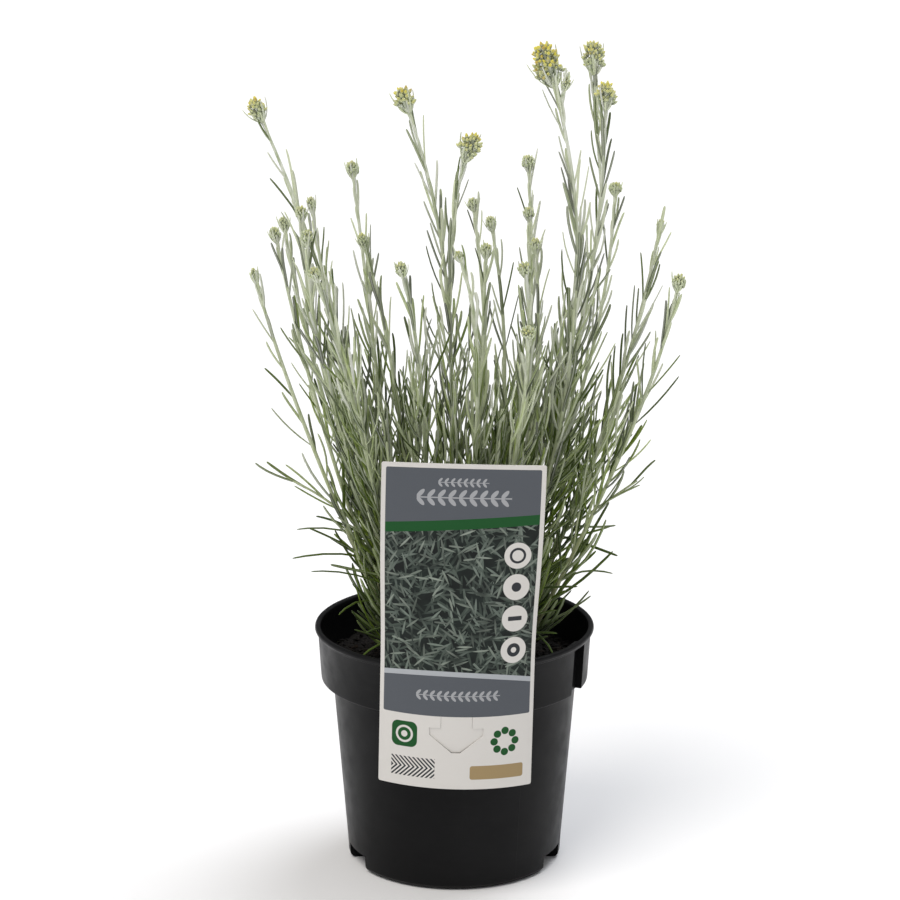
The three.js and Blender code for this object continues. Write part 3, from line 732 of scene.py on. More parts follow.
def composted_bark(settings):
    """Damp composted bark: nearly black, matt, with brown crumbs and a few pale fibres."""
    material, tree, place, tone = new_material("composted bark mix", "tone")
    speck = add(tree, "RANGE", grain(tree, place, 1.4, 4.0), 0.4, 0.75)
    brown = add(tree, "RANGE", tone, 0.72, 1.0, 0.0, 0.7)
    layers = ((speck, tuple(settings.bark)), (brown, colour("261d15")))
    values = {
        "Base Color": layered(tree, colour("070605"), *layers),
        "Roughness": add(tree, "RANGE", speck, 0, 1, 0.95, 0.7),
        "Specular IOR Level": 0.2,
    }
    return painted(material, values, grain(tree, place, 0.8, 5.0), 0.5)


class PLANT_OT_potting_mix(bpy.types.Operator):
    """Makes the potting mix"""

    bl_idname = "potted_plant.potting_mix"
    bl_label = "Potting mix"

    def execute(self, context):
        settings = context.scene.plant_mix
        noise.seed_set(21)
        crumbs = [crumb_object(number) for number in range(CRUMB_KINDS)]
        plug = mix_mesh()
        values = {
            "Density": settings.crumbs_per_square_centimetre * 10000,
            "Crumb size": settings.crumb_size,
            "Material": composted_bark(settings),
        }
        grow(plug, crumb_tree(crumbs), values)
        for crumb in crumbs:
            bpy.data.objects.remove(crumb)
        seat(plug, "potting_mix", "potting_mix")
        return {"FINISHED"}


# The label


# The print on the flat card, in millimetres from its lower left corner. The leaf print's layers run from
# the darkest at the back to the palest in front.
LEAF_SHADES = (
    "434d45", "4c564e", "545f56", "5b665d", "616c63", "677269", "6c776e", "727d74", "788379", "818b80",
    "8f988d",
)
PANEL_FOOT = 37
# The lower edges of the green band and of the slate heading, which rise to the right, at this place.
BAND_FOOT = 131
HEADING_FOOT = 136
HEADING_MIDDLE = 39
HEADING_SLOPE = 0.07
# The upper edges of a pale line and of the slate foot band, which sag to both sides of their crest.
PALE_LINE_TOP = 60
FOOT_BAND_TOP = 57.5
FOOT_BAND_CREST = 30
FOOT_BAND_SAG = -0.0022
# Plain sprigs where a heading and a line of a real label would be: where each starts, how many pairs of
# leaves it bears, its height, and its leaves' pitch and length.
SPRIGS = ((17, 9, 146.5, 5, 5.2), (27, 8, 154, 3, 2.8), (19, 12, 47.5, 3.4, 3.4))
SPRIG_LEAN = math.radians(48)
DISC_HEIGHTS = (118, 102, 86, 70)
ROSETTE = (63, 24)
ROSETTE_RADIUS = 5.4
ROSETTE_ANGLES = [math.radians(turn * 45) for turn in range(8)]
# The plain marks in the order that they are printed: four pale discs at the right with a mark on each,
# then on the white foot a rosette of dots, a block, and a square with a ring and a dot. Each has its ink,
# and then a ring's centre, radius and width, or a box's left, right, foot, top and corner radius.
MARKS = (
    *[("card", (66, height), 6.6, 6.6) for height in DISC_HEIGHTS],
    ("ink", (66, 118), 4.0, 1.2),
    ("ink", (66, 102), 2.4, 2.4),
    ("ink", 62.5, 69.5, 84.9, 87.1, 0.4),
    ("ink", (66, 70), 3.4, 2.0),
    *[
        (
            "leaf_green",
            (ROSETTE[0] + ROSETTE_RADIUS * math.cos(angle), ROSETTE[1] + ROSETTE_RADIUS * math.sin(angle)),
            1.9,
            1.9,
        )
        for angle in ROSETTE_ANGLES
    ],
    ("tan", 46, 73, 5, 12, 1.2),
    ("leaf_green", 7, 20, 20, 33, 3.2),
    ("card", (13.5, 26.5), 4.4, 1.1),
    ("card", (13.5, 26.5), 1.6, 1.6),
)
# The block of dark chevrons, as a box, with the height of their points and half their pitch.
CHEVRONS = (7, 29, 5, 15, 0.2)
CHEVRON_HEIGHT = 10
CHEVRON_PITCH = 1.1
# How soft the edges of boxes and of rings are, to each side.
BOX_EDGE = 0.05
RING_EDGE = 0.06


def arrow_outline(margin):
    """The arrow's outline on the flat card, grown by a margin, from the left of its neck's top."""
    neck = ARROW_NECK / 2 + margin
    wings = ARROW_WINGS / 2 + margin
    wing_top = ARROW_TOP - ARROW_NECK_HEIGHT + margin
    wing_foot = wing_top - ARROW_WING_HEIGHT - margin
    tip = ARROW_TOP - ARROW_HEIGHT - margin
    left = [(-neck, ARROW_TOP), (-neck, wing_top), (-wings, wing_top), (-wings, wing_foot), (-2, tip)]
    return left + [(-across, up) for across, up in reversed(left)]


def in_arrow(across, up):
    """Whether a point of the flat card is on the arrow's tongue."""
    if up > ARROW_TOP or up < ARROW_TOP - ARROW_HEIGHT:
        return False
    wing_top = ARROW_TOP - ARROW_NECK_HEIGHT
    if up > wing_top:
        return abs(across) < ARROW_NECK / 2
    wing_foot = wing_top - ARROW_WING_HEIGHT
    share = min(1, (up - (ARROW_TOP - ARROW_HEIGHT)) / (wing_foot - (ARROW_TOP - ARROW_HEIGHT)))
    return abs(across) < 2 + (ARROW_WINGS / 2 - 2) * share


def bent(across, up, depth):
    """A point of the flat card, from the middle of its foot, on the card as it hangs on the pot."""
    sideways = across * math.cos(CARD_LEAN) + up * math.sin(CARD_LEAN)
    height = CARD_FOOT + up * math.cos(CARD_LEAN) - across * math.sin(CARD_LEAN)
    eased = max(0, min(1, (height - POT_HEIGHT) / (CARD_FLAT_ABOVE - POT_HEIGHT)))
    eased = eased * eased * (3 - 2 * eased)
    contact = RIM_RADIUS + SIDE_GAP + CARD_THICKNESS / 2
    radius = contact / (1 + (CARD_TOP_CURVE - 1) * eased)
    set_back = math.tan(ARROW_PUSH) * max(0, ARROW_TOP - up) if in_arrow(across, up) else 0
    angle = sideways / radius
    x = (radius - depth) * math.sin(angle)
    y = radius - contact - (radius - depth) * math.cos(angle) + set_back
    return Vector((x, y, height)) * MM


def rounded_outline(half_width, foot, top, corner):
    """A card's outline with round corners, anticlockwise."""
    outline = []
    for across, up, start in ((1, foot, -90), (1, top, 0), (-1, top, 90), (-1, foot, 180)):
        inward = corner if up == foot else -corner
        outline += arc((across * (half_width - corner), up + inward), corner, start, start + 90, 5)
    return outline


def card_mesh():
    """The card cut flat, with its arrow slit, then bent round the pot."""
    across_cells, up_cells = CARD_CELLS
    half = CARD_THICKNESS / 2
    points = []
    for depth in (-half, half):
        for row in range(up_cells + 1):
            for column in range(across_cells + 1):
                across = CARD_WIDTH * (column / across_cells - 0.5)
                points.append((across, depth, CARD_HEIGHT * row / up_cells))
    row_length = across_cells + 1
    layer = row_length * (up_cells + 1)
    faces = []
    for row in range(up_cells):
        for column in range(across_cells):
            corner = row * row_length + column
            faces.append((corner, corner + 1, corner + row_length + 1, corner + row_length))
            corner += layer
            faces.append((corner, corner + row_length, corner + row_length + 1, corner + 1))
    rim = list(range(across_cells))
    rim += [row * row_length + across_cells for row in range(up_cells)]
    rim += [up_cells * row_length + across_cells - column for column in range(across_cells)]
    rim += [(up_cells - row) * row_length for row in range(up_cells)]
    for i, here in enumerate(rim):
        there = rim[(i + 1) % len(rim)]
        faces.append((here, here + layer, there + layer, there))
    card = mesh_piece("plant_label_card", points, faces)

    def flat(a, b, depth):
        return (a, depth, b)

    outline = rounded_outline(CARD_WIDTH / 2 - 0.01, 0.01, CARD_HEIGHT - 0.01, 0.9)
    join_or_cut(card, prism("card_outline", outline, flat, 5), "INTERSECT")
    slit = arrow_outline(ARROW_SLIT / 2) + arrow_outline(-ARROW_SLIT / 2)[::-1]
    join_or_cut(card, prism("arrow_slit", slit, flat, 5), "DIFFERENCE")

    shape = bmesh.new()
    shape.from_mesh(card.data)
    bmesh.ops.triangulate(shape, faces=shape.faces)
    print_map = shape.loops.layers.uv.new("print")
    for face in shape.faces:
        face.material_index = 0 if face.normal.y < -0.7 else 1
        for loop in face.loops:
            across, _, up = loop.vert.co / MM
            loop[print_map].uv = (across / CARD_WIDTH + 0.5, up / CARD_HEIGHT)
    for vertex in shape.verts:
        across, depth, up = vertex.co / MM
        vertex.co = bent(across, up, depth)
    shape.to_mesh(card.data)
    shape.free()
    return card


def squares_added(tree, sides):
    return add(tree, "ADD", *[add(tree, "MULTIPLY", side, side) for side in sides])


def box_mask(tree, axes, left, right, foot, top, corner=0.0):
    """1 inside a box of the print, in millimetres, with round corners, and 0 outside."""
    beside = []
    for place, low, high in zip(axes, (left, foot), (right, top)):
        from_middle = add(tree, "ABSOLUTE", add(tree, "SUBTRACT", place, (low + high) / 2))
        past_edge = add(tree, "SUBTRACT", from_middle, (high - low) / 2 - corner)
        beside.append(add(tree, "MAXIMUM", past_edge, 0.0))
    away = add(tree, "SQRT", squares_added(tree, beside))
    return add(tree, "RANGE", away, corner + BOX_EDGE, corner - BOX_EDGE)


def ring_mask(tree, axes, centre, radius, width):
    """1 on a ring of the print, in millimetres. A disc is a ring as wide as its radius."""
    offsets = [add(tree, "SUBTRACT", place, middle) for place, middle in zip(axes, centre)]
    away = add(tree, "SQRT", squares_added(tree, offsets))
    from_middle = add(tree, "ABSOLUTE", add(tree, "SUBTRACT", away, radius - width / 2))
    return add(tree, "RANGE", from_middle, width / 2 + RING_EDGE, width / 2 - RING_EDGE)


def sprig_mask(tree, axes, start, pairs, height, pitch, leaf):
    """1 on a plain sprig of the print: a level stalk with pairs of oval leaves that lean to the right."""
    across, up = axes
    away = add(tree, "ABSOLUTE", add(tree, "SUBTRACT", up, height))
    local = add(tree, "MODULO", add(tree, "SUBTRACT", across, start), pitch)
    cosine, sine = math.cos(SPRIG_LEAN), math.sin(SPRIG_LEAN)
    ahead = add(tree, "ADD", add(tree, "MULTIPLY", local, cosine), add(tree, "MULTIPLY", away, sine))
    aside = add(tree, "SUBTRACT", add(tree, "MULTIPLY", away, cosine), add(tree, "MULTIPLY", local, sine))
    length_share = add(tree, "DIVIDE", add(tree, "SUBTRACT", ahead, leaf / 2), leaf / 2)
    width_share = add(tree, "DIVIDE", aside, leaf * 0.2)
    leaves = add(tree, "RANGE", squares_added(tree, (length_share, width_share)), 1.06, 0.94)
    stalk = add(tree, "RANGE", away, leaf * 0.07, leaf * 0.05)
    in_reach = box_mask(tree, axes, start, start + pitch * pairs, height - leaf, height + leaf)
    return add(tree, "MULTIPLY", add(tree, "MAXIMUM", leaves, stalk), in_reach)


def leaf_layer(tree, flat, length, width, seed):
    """Scattered slim leaves: 1 on a leaf, with a random tone for each. Each cell of a pattern holds one
    leaf, turned about the cell's middle. Near leaves lie roughly one way."""
    moved = add(tree, "ShaderNodeVectorMath", flat, (seed * 13.7, seed * 7.9, 0), operation="ADD")
    pattern = {"Vector": moved, "Scale": 1.15 / length, "Randomness": 0.7}
    cells = add(tree, "ShaderNodeTexVoronoi", pattern, voronoi_dimensions="2D").outputs
    draws = add(tree, "ShaderNodeSeparateColor", cells["Color"]).outputs
    from_middle = add(tree, "ShaderNodeVectorMath", moved, cells["Position"], operation="SUBTRACT")
    flow = add(tree, "RANGE", grain(tree, cells["Position"], 14000, 1.0), 0.3, 0.7, 0.0, 2 * math.pi)
    angle = add(tree, "ADD", flow, add(tree, "MULTIPLY", draws[1], 1.7))
    turned_leaf = {"Vector": from_middle, "Angle": angle}
    lying = add(tree, "ShaderNodeVectorRotate", turned_leaf, rotation_type="Z_AXIS")
    axes = add(tree, "ShaderNodeSeparateXYZ", lying).outputs
    along = add(tree, "DIVIDE", axes["X"], length / 2)
    rounded = add(tree, "SUBTRACT", 1.0, add(tree, "MULTIPLY", along, along))
    girth = add(tree, "MULTIPLY", rounded, width / 2)
    inside = add(tree, "SUBTRACT", girth, add(tree, "ABSOLUTE", axes["Y"]))
    return add(tree, "RANGE", inside, -0.04, 0.04), draws[0]


def leaf_print(tree, flat):
    """Layers of scattered slim leaves over a dark ground, with dark hollows between them."""
    ground = add(tree, "RANGE", grain(tree, flat, 9000, 2.0), 0.35, 0.65)
    leaves = layered(tree, colour("0b110f"), (ground, colour("1a2420")))
    for number, code in enumerate(LEAF_SHADES):
        mask, tone = leaf_layer(tree, flat, 11.5 - 0.3 * number, 1.35 - 0.04 * number, number + 1)
        shade = layered(tree, colour(code), (tone, colour("1c2722")))
        kept = add(tree, "RANGE", tone, 0.92, 0.88)
        leaves = layered(tree, leaves, (add(tree, "MULTIPLY", mask, kept), shade))
    hollows = add(tree, "RANGE", grain(tree, flat, 12000, 2.0), 0.32, 0.5, 0.6, 0.0)
    return layered(tree, leaves, (hollows, colour("0f1613")))


def printed_card(settings):
    """Offset print on white plastic card: flat slate panels, a plain green band, a plain print of slim
    leaves in grey-green, and a few plain marks. The varnish gives it a satin shine."""
    material, tree, place = new_material("offset print on plastic card")
    printed = add(tree, "ShaderNodeUVMap", uv_map="print")
    flat = add(tree, "ShaderNodeVectorMath", printed, (CARD_WIDTH, CARD_HEIGHT, 1), operation="MULTIPLY")
    split = add(tree, "ShaderNodeSeparateXYZ", flat)
    axes = across, up = split.outputs["X"], split.outputs["Y"]
    border = settings.border / MM
    inks = {name: tuple(getattr(settings, name)) for name in ("card", "slate", "leaf_green", "tan")}
    inks["ink"] = colour("2f3236")

    panel = box_mask(tree, axes, border, CARD_WIDTH - border, PANEL_FOOT, CARD_HEIGHT - border, 0.8)
    base = layered(tree, inks["card"], (panel, leaf_print(tree, flat)))
    slope = add(tree, "MULTIPLY", add(tree, "SUBTRACT", across, HEADING_MIDDLE), HEADING_SLOPE)
    offset = add(tree, "SUBTRACT", across, FOOT_BAND_CREST)
    sag = add(tree, "MULTIPLY", add(tree, "MULTIPLY", offset, offset), FOOT_BAND_SAG)
    bands = (
        (slope, BAND_FOOT, -BOX_EDGE, inks["leaf_green"]),
        (slope, HEADING_FOOT, -BOX_EDGE, inks["slate"]),
        (sag, PALE_LINE_TOP, BOX_EDGE, colour("aeb2b6")),
        (sag, FOOT_BAND_TOP, BOX_EDGE, inks["slate"]),
    )
    for edge, height, outside, shade in bands:
        from_edge = add(tree, "SUBTRACT", up, add(tree, "ADD", edge, height))
        within = add(tree, "RANGE", from_edge, outside, -outside)
        base = layered(tree, base, (add(tree, "MULTIPLY", within, panel), shade))
    for sprig in SPRIGS:
        base = layered(tree, base, (sprig_mask(tree, axes, *sprig), colour("d5d6d8")))
    for ink, *shape in MARKS:
        mask = ring_mask if len(shape) == 3 else box_mask
        base = layered(tree, base, (mask(tree, axes, *shape), inks[ink]))
    bent_up = add(tree, "ABSOLUTE", add(tree, "SUBTRACT", up, CHEVRON_HEIGHT))
    stripes = add(tree, "PINGPONG", add(tree, "ADD", across, bent_up), CHEVRON_PITCH)
    striped = add(tree, "RANGE", stripes, 0.5, 0.6)
    chevrons = add(tree, "MULTIPLY", striped, box_mask(tree, axes, *CHEVRONS))
    values = {
        "Base Color": layered(tree, base, (chevrons, inks["ink"])),
        "Roughness": add(tree, "RANGE", grain(tree, place, 18, 3.0), 0.3, 0.7, 0.34, 0.46),
        "Specular IOR Level": 0.2,
    }
    return painted(material, values, grain(tree, place, 1.1, 2.0), 0.01)


def bare_card(settings):
    """Bare plastic card, meant for the label's back and cut edges: off-white and faintly cloudy."""
    material, tree, place = new_material("bare plastic card")
    cloudy = add(tree, "RANGE", grain(tree, place, 14, 3.0), 0.35, 0.7, 0.0, 0.25)
    base = layered(tree, tuple(settings.card), (cloudy, colour("dfe1e3")))
    values = {"Base Color": base, "Roughness": 0.5}
    return painted(material, values, grain(tree, place, 1.1, 2.0), 0.015)


class PLANT_OT_label(bpy.types.Operator):
    """Makes the printed plant label"""

    bl_idname = "potted_plant.label"
    bl_label = "Plant label"

    def execute(self, context):
        settings = context.scene.plant_label
        card = card_mesh()
        dress(card, 40, printed_card(settings), bare_card(settings))
        seat(card, "label_card", "plant_label")
        return {"FINISHED"}


# Growing stems, leaves and buds


def draw(shoot, item, channel):
    """A repeatable random number from 0 to 1."""
    mixed = ((shoot + 1) * 374761393 ^ (item + 1) * 668265263 ^ (channel + 1) * 974634777) & 0xFFFFFFFF
    mixed = ((mixed ^ (mixed >> 13)) * 1274126177) & 0xFFFFFFFF
    return (mixed ^ (mixed >> 16)) / 4294967296


def point_on(curve, along):
    """A point of a Bezier curve of any degree."""
    points = list(curve)
    while len(points) > 1:
        points = [a.lerp(b, along) for a, b in zip(points, points[1:])]
    return points[0]


def direction_on(curve, along):
    steps = [b - a for a, b in zip(curve, curve[1:])]
    return point_on(steps, along).normalized()


def length_of(curve):
    points = [point_on(curve, i / 200) for i in range(201)]
    return sum((b - a).length for a, b in zip(points, points[1:]))


def side_of(direction):
    """A square-across direction for a stem, which never runs along Y."""
    return direction.cross(Vector((0, 1, 0))).normalized()


def level_direction(turn):
    return Vector((math.cos(turn), math.sin(turn), 0))


def stem_curve(low, high, end):
    """A smooth curve from the crown through the shoot's two points to its end."""
    start = Vector((low[0] * CROWN_ACROSS, low[1] * CROWN_DEEP, MIX_SURFACE - STEM_DEPTH))
    low, high, end = Vector(low), Vector(high), Vector(end)
    first = (-5 * start + 18 * low - 9 * high + 2 * end) / 6
    second = (2 * start - 9 * low + 18 * high - 5 * end) / 6
    return (start, first, second, end)


def leaf_curve(stem, shoot, index, count):
    """One leaf of a shoot: leaves follow each other by the golden angle, closer together low down, where
    they are longer and stand out more."""
    at = ((index + 0.5) / count) ** LEAF_CROWDING * LEAF_REACH + LEAF_FIRST
    turn = index * GOLDEN_ANGLE + math.radians(40 * draw(shoot, index, 0))
    length = LEAF_LOW_LENGTH + (LEAF_TOP_LENGTH - LEAF_LOW_LENGTH) * at
    length *= 0.8 + 0.35 * draw(shoot, index, 1)
    root_angle = LEAF_LOW_ANGLE + (LEAF_TOP_ANGLE - LEAF_LOW_ANGLE) * at
    tip_angle = root_angle * (0.35 + 0.85 * draw(shoot, index, 2))
    return leaf_from(stem, at, turn, length, root_angle, tip_angle, draw(shoot, index, 5))


def leaf_from(stem, at, turn, length, root_angle, tip_angle, sway, rise=0.0):
    """A leaf that leaves a stem at one angle and ends at another, in degrees from the stem. It sways a
    little to one side on the way, and its tip rises to the light by a share of its length."""
    root = point_on(stem, at)
    along = direction_on(stem, at)
    across = side_of(along)
    outward = across * math.cos(turn) + along.cross(across) * math.sin(turn)
    side = along.cross(outward).normalized()

    def reach(angle, share, swayed, risen):
        angle = math.radians(angle)
        drift = side * (sway - 0.5) * swayed * length + UP * (rise * risen * length)
        return root + (along * math.cos(angle) + outward * math.sin(angle)) * share * length + drift

    curve = (
        root,
        reach(root_angle, 0.36, 0, 0),
        reach((root_angle + tip_angle) / 2, 0.7, 0.2, 0.3),
        reach(tip_angle, 1, 0.1, 1),
    )
    return curve, side


def arching_curve(stem, at, bend, tip):
    root = point_on(stem, at)
    tip = Vector(tip)
    middle = Vector(bend) * 2 - (root + tip) / 2
    return (root, middle, tip), (middle - root).cross(tip - root).normalized()


def is_in_the_open(curve):
    """Whether a leaf stays out of the potting mix, the pot's wall and the label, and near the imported
    model's box."""
    for side, low, high in zip(curve[-1], *CAD_BOX):
        if not low / MM - BOX_MARGIN < side < high / MM + BOX_MARGIN:
            return False
    for i in range(1, 9):
        x, y, z = point_on(curve, i / 8)
        above_mix = z > MIX_SURFACE + CLEAR_OF_MIX
        inside_wall = math.hypot(x, y) < COLLAR_FOOT[0] - CLEAR_OF_WALL or z > POT_HEIGHT + CLEAR_OF_TOP
        behind_label = z > CARD_FOOT + CARD_HEIGHT + CLEAR_OF_TOP or y > 3 - RIM_RADIUS
        if not (above_mix and inside_wall and behind_label):
            return False
    return True


STEM, LEAF, BUD = 0, 1, 2
# The section of a stem or a leaf, and the corner of a leaf's that is pushed in to a groove.
SECTION_SIDES = 8
GROOVE_CORNER = 6
GROOVE_DEPTH = 0.34


class Growth:
    """The lines and points that a plant piece grows from: each line is a stem or a leaf, and each loose
    point is a bud."""

    def __init__(self, name):
        self.name = name
        self.points = []
        self.edges = []
        self.values = {"kind": [], "reach": [], "tone": [], "along": [], "ripe": [], "side": []}

    def add_point(self, place, side, **values):
        self.points.append(Vector(place) * MM)
        self.values["side"].append(side)
        for name in ("kind", "reach", "tone", "along", "ripe"):
            self.values[name].append(float(values.get(name, 0)))

    def add_line(self, kind, curve, side, profile, tone, ripe=0.0):
        """A limb along a curve. Its profile lists how wide it is, as a share, at shares of the way."""
        first = len(self.points)
        for along, reach in profile:
            across = side or side_of(direction_on(curve, along))
            place = point_on(curve, along)
            self.add_point(place, across, kind=kind, reach=reach, tone=tone, along=along, ripe=ripe)
        self.edges += [(i, i + 1) for i in range(first, len(self.points) - 1)]

    def add_bud(self, place, axis, size, tone, ripe):
        self.add_point(place, axis, kind=BUD, reach=size, tone=tone, ripe=ripe)

    def piece(self):
        mesh = bpy.data.meshes.new(self.name)
        mesh.from_pydata(self.points, self.edges, [])
        for name, values in self.values.items():
            if name == "side":
                stored = mesh.attributes.new(name, "FLOAT_VECTOR", "POINT")
                stored.data.foreach_set("vector", [share for vector in values for share in vector])
            else:
                mesh.attributes.new(name, "FLOAT", "POINT").data.foreach_set("value", values)
        return link(bpy.data.objects.new(self.name, mesh))


def growth_tree():
    """Sweeps a round section along the stem lines and a flat one along the leaf lines, and sets a bud on
    each loose point."""
    sockets = (
        ("Stem width", "Float"),
        ("Leaf width", "Float"),
        ("Leaf thickness", "Float"),
        ("Bud", "Object"),
        ("Bud width", "Float"),
        ("Bud length", "Float"),
        ("Stem material", "Material"),
        ("Leaf material", "Material"),
        ("Bud material", "Material"),
    )
    tree, given = new_group("stems, leaves and buds", sockets)
    kind, reach, side = [
        add(tree, "GeometryNodeInputNamedAttribute", {"Name": name}, data_type=data_type)
        for name, data_type in (("kind", "FLOAT"), ("reach", "FLOAT"), ("side", "FLOAT_VECTOR"))
    ]
    gathered = add(tree, "GeometryNodeJoinGeometry")

    def part_of_kind(number):
        compared = {0: kind, 1: float(number), "Epsilon": 0.1}
        chosen = add(tree, "FunctionNodeCompare", compared, operation="EQUAL")
        part = {"Geometry": given["Geometry"], "Selection": chosen}
        return add(tree, "GeometryNodeSeparateGeometry", part)

    def gather(shapes, material):
        coloured = add(tree, "GeometryNodeSetMaterial", {"Geometry": shapes, "Material": given[material]})
        feed(tree, gathered.inputs[0], coloured)

    sections = (
        (STEM, "Stem width", "Stem width", "Stem material"),
        (LEAF, "Leaf width", "Leaf thickness", "Leaf material"),
    )
    for number, width, thickness, material in sections:
        curves = add(tree, "GeometryNodeMeshToCurve", {"Mesh": part_of_kind(number)})
        straight = add(tree, "GeometryNodeSetCurveNormal", {"Curve": curves, "Normal": side}, mode="FREE")
        round_section = {"Resolution": SECTION_SIDES, "Radius": 0.5}
        circle = add(tree, "GeometryNodeCurvePrimitiveCircle", round_section, mode="RADIUS")
        if number == LEAF:
            # The margins are rolled under, which leaves a groove along the middle of the underside.
            index = add(tree, "GeometryNodeInputIndex")
            equal = {"data_type": "INT", "operation": "EQUAL"}
            groove = add(tree, "FunctionNodeCompare", index, GROOVE_CORNER, **equal)
            grooved = {"Geometry": circle, "Selection": groove, "Offset": (0, GROOVE_DEPTH, 0)}
            circle = add(
                tree,
                "GeometryNodeStoreNamedAttribute",
                {
                    "Geometry": add(tree, "GeometryNodeSetPosition", grooved),
                    "Name": "groove",
                    "Value": groove,
                },
                data_type="FLOAT",
                domain="POINT",
            )
        sizes = add(tree, "ShaderNodeCombineXYZ", given[width], given[thickness], 1.0)
        section = add(tree, "GeometryNodeTransform", {"Geometry": circle, "Scale": sizes})
        swept = {"Curve": straight, "Profile Curve": section, "Scale": reach, "Fill Caps": True}
        limbs = add(tree, "GeometryNodeCurveToMesh", swept)
        gather(add(tree, "GeometryNodeSetShadeSmooth", {"Geometry": limbs}), material)
    bud = add(tree, "GeometryNodeObjectInfo", {"Object": given["Bud"], "As Instance": True})
    upright = add(tree, "FunctionNodeAlignRotationToVector", {"Vector": side}, axis="Z")
    sizes = add(tree, "ShaderNodeCombineXYZ", given["Bud width"], given["Bud width"], given["Bud length"])
    scaled = add(tree, "ShaderNodeVectorMath", {0: sizes, "Scale": reach}, operation="SCALE")
    set_buds = add(
        tree,
        "GeometryNodeInstanceOnPoints",
        {
            "Points": part_of_kind(BUD),
            "Instance": bud.outputs["Geometry"],
            "Rotation": upright,
            "Scale": scaled,
        },
    )
    gather(add(tree, "GeometryNodeRealizeInstances", set_buds), "Bud material")
    add(tree, "NodeGroupOutput", add(tree, "GeometryNodeRealizeInstances", gathered))
    return tree


def bud_object():
    """One bud, 1 wide and 1 long: an egg with rows of overlapping bracts raised from it."""
    rings = 9
    sides = 10
    points = [(0, 0, 0)]
    along = [0.0]
    for ring in range(1, rings):
        up = ring / rings
        radius = 0.5 * math.sin(math.pi * up ** 0.8) ** 0.7 * (1 - 0.15 * up)
        for turn in range(sides):
            angle = 2 * math.pi * (turn + 0.5 * (ring % 2)) / sides
            raised = 1.0 + (0.09 if (turn + ring // 2) % 2 == 0 else -0.05) * (ring % 2 * 2 - 1)
            points.append((radius * raised * math.cos(angle), radius * raised * math.sin(angle), up))
            along.append(up)
    points.append((0, 0, 1))
    along.append(1.0)
    faces = [(0, 1 + (turn + 1) % sides, 1 + turn) for turn in range(sides)]
    for ring in range(rings - 2):
        here = 1 + ring * sides
        for turn in range(sides):
            following = (turn + 1) % sides
            faces.append((here + turn, here + following, here + sides + following, here + sides + turn))
    top = 1 + (rings - 2) * sides
    faces += [(top + turn, top + (turn + 1) % sides, len(points) - 1) for turn in range(sides)]
    mesh = bpy.data.meshes.new("bud")
    mesh.from_pydata(points, [], faces)
    mesh.attributes.new("along", "FLOAT", "POINT").data.foreach_set("value", along)
    mesh.polygons.foreach_set("use_smooth", [True] * len(mesh.polygons))
    return bpy.data.objects.new("bud", mesh)


# A leaf is narrow at its root, even for most of its length and blunt at its tip.
LEAF_PROFILE = (
    (0, 0.62), (0.1, 0.82), (0.28, 1), (0.48, 1), (0.68, 0.98), (0.87, 0.92), (0.97, 0.72), (1, 0.32)
)


def leaf_profile(size):
    return [(along, reach * size) for along, reach in LEAF_PROFILE]


def stem_profile(steps, *radii):
    """An even run of points along a stem whose radii, in millimetres, are given from root to end."""
    profile = []
    for i in range(steps + 1):
        place = i / steps * (len(radii) - 1)
        before = min(int(place), len(radii) - 2)
        share = place - before
        profile.append((i / steps, radii[before] * (1 - share) + radii[before + 1] * share))
    return profile


def head_placing(curve, end=1.0):
    """Where a head sits: just clear of its stem's end, in line with it."""
    axis = direction_on(curve, end)
    turn = UP.rotation_difference(axis).to_matrix().to_4x4()
    return Matrix.Translation(point_on(curve, end) + axis * SIDE_GAP) @ turn


# Heads wider than this are open. Their top bud stands this much above the others.
OPEN_FROM_WIDTH = 9
TOP_BUD = 2.2
# How far each open head has ripened to yellow, and all the others. Ripeness also deepens the painted shade at
# the buds' feet.
RIPENESS = {"18": 1.25, "12": 0.9, "11": 0.8, "20": 0.8, "01": 0.75, "19": 0.75}
UNRIPE = 0.12
CLOSED_HEAD_BUDS = 30


def grow_bracts(growth, placing, count, width, heights, number, size):
    """Slim bracts in a ring: they leave the seat of a head and hug its underside."""
    turn_only = placing.to_3x3()
    for i in range(count):
        turn = (i + 0.6 * draw(number, i, 23)) * 2 * math.pi / count
        outward = level_direction(turn)
        reach = heights[0] + (heights[1] - heights[0]) * draw(number, i, 24)
        curve = (
            UP * -1.2,
            outward * width * 0.42 + UP * (reach * 0.2),
            outward * width * (0.47 + 0.12 * draw(number, i, 25)) + UP * reach,
        )
        side = turn_only @ UP.cross(outward)
        tone = 0.6 + 0.4 * draw(number, i, 26)
        growth.add_line(LEAF, [placing @ spot for spot in curve], side, leaf_profile(size), tone)


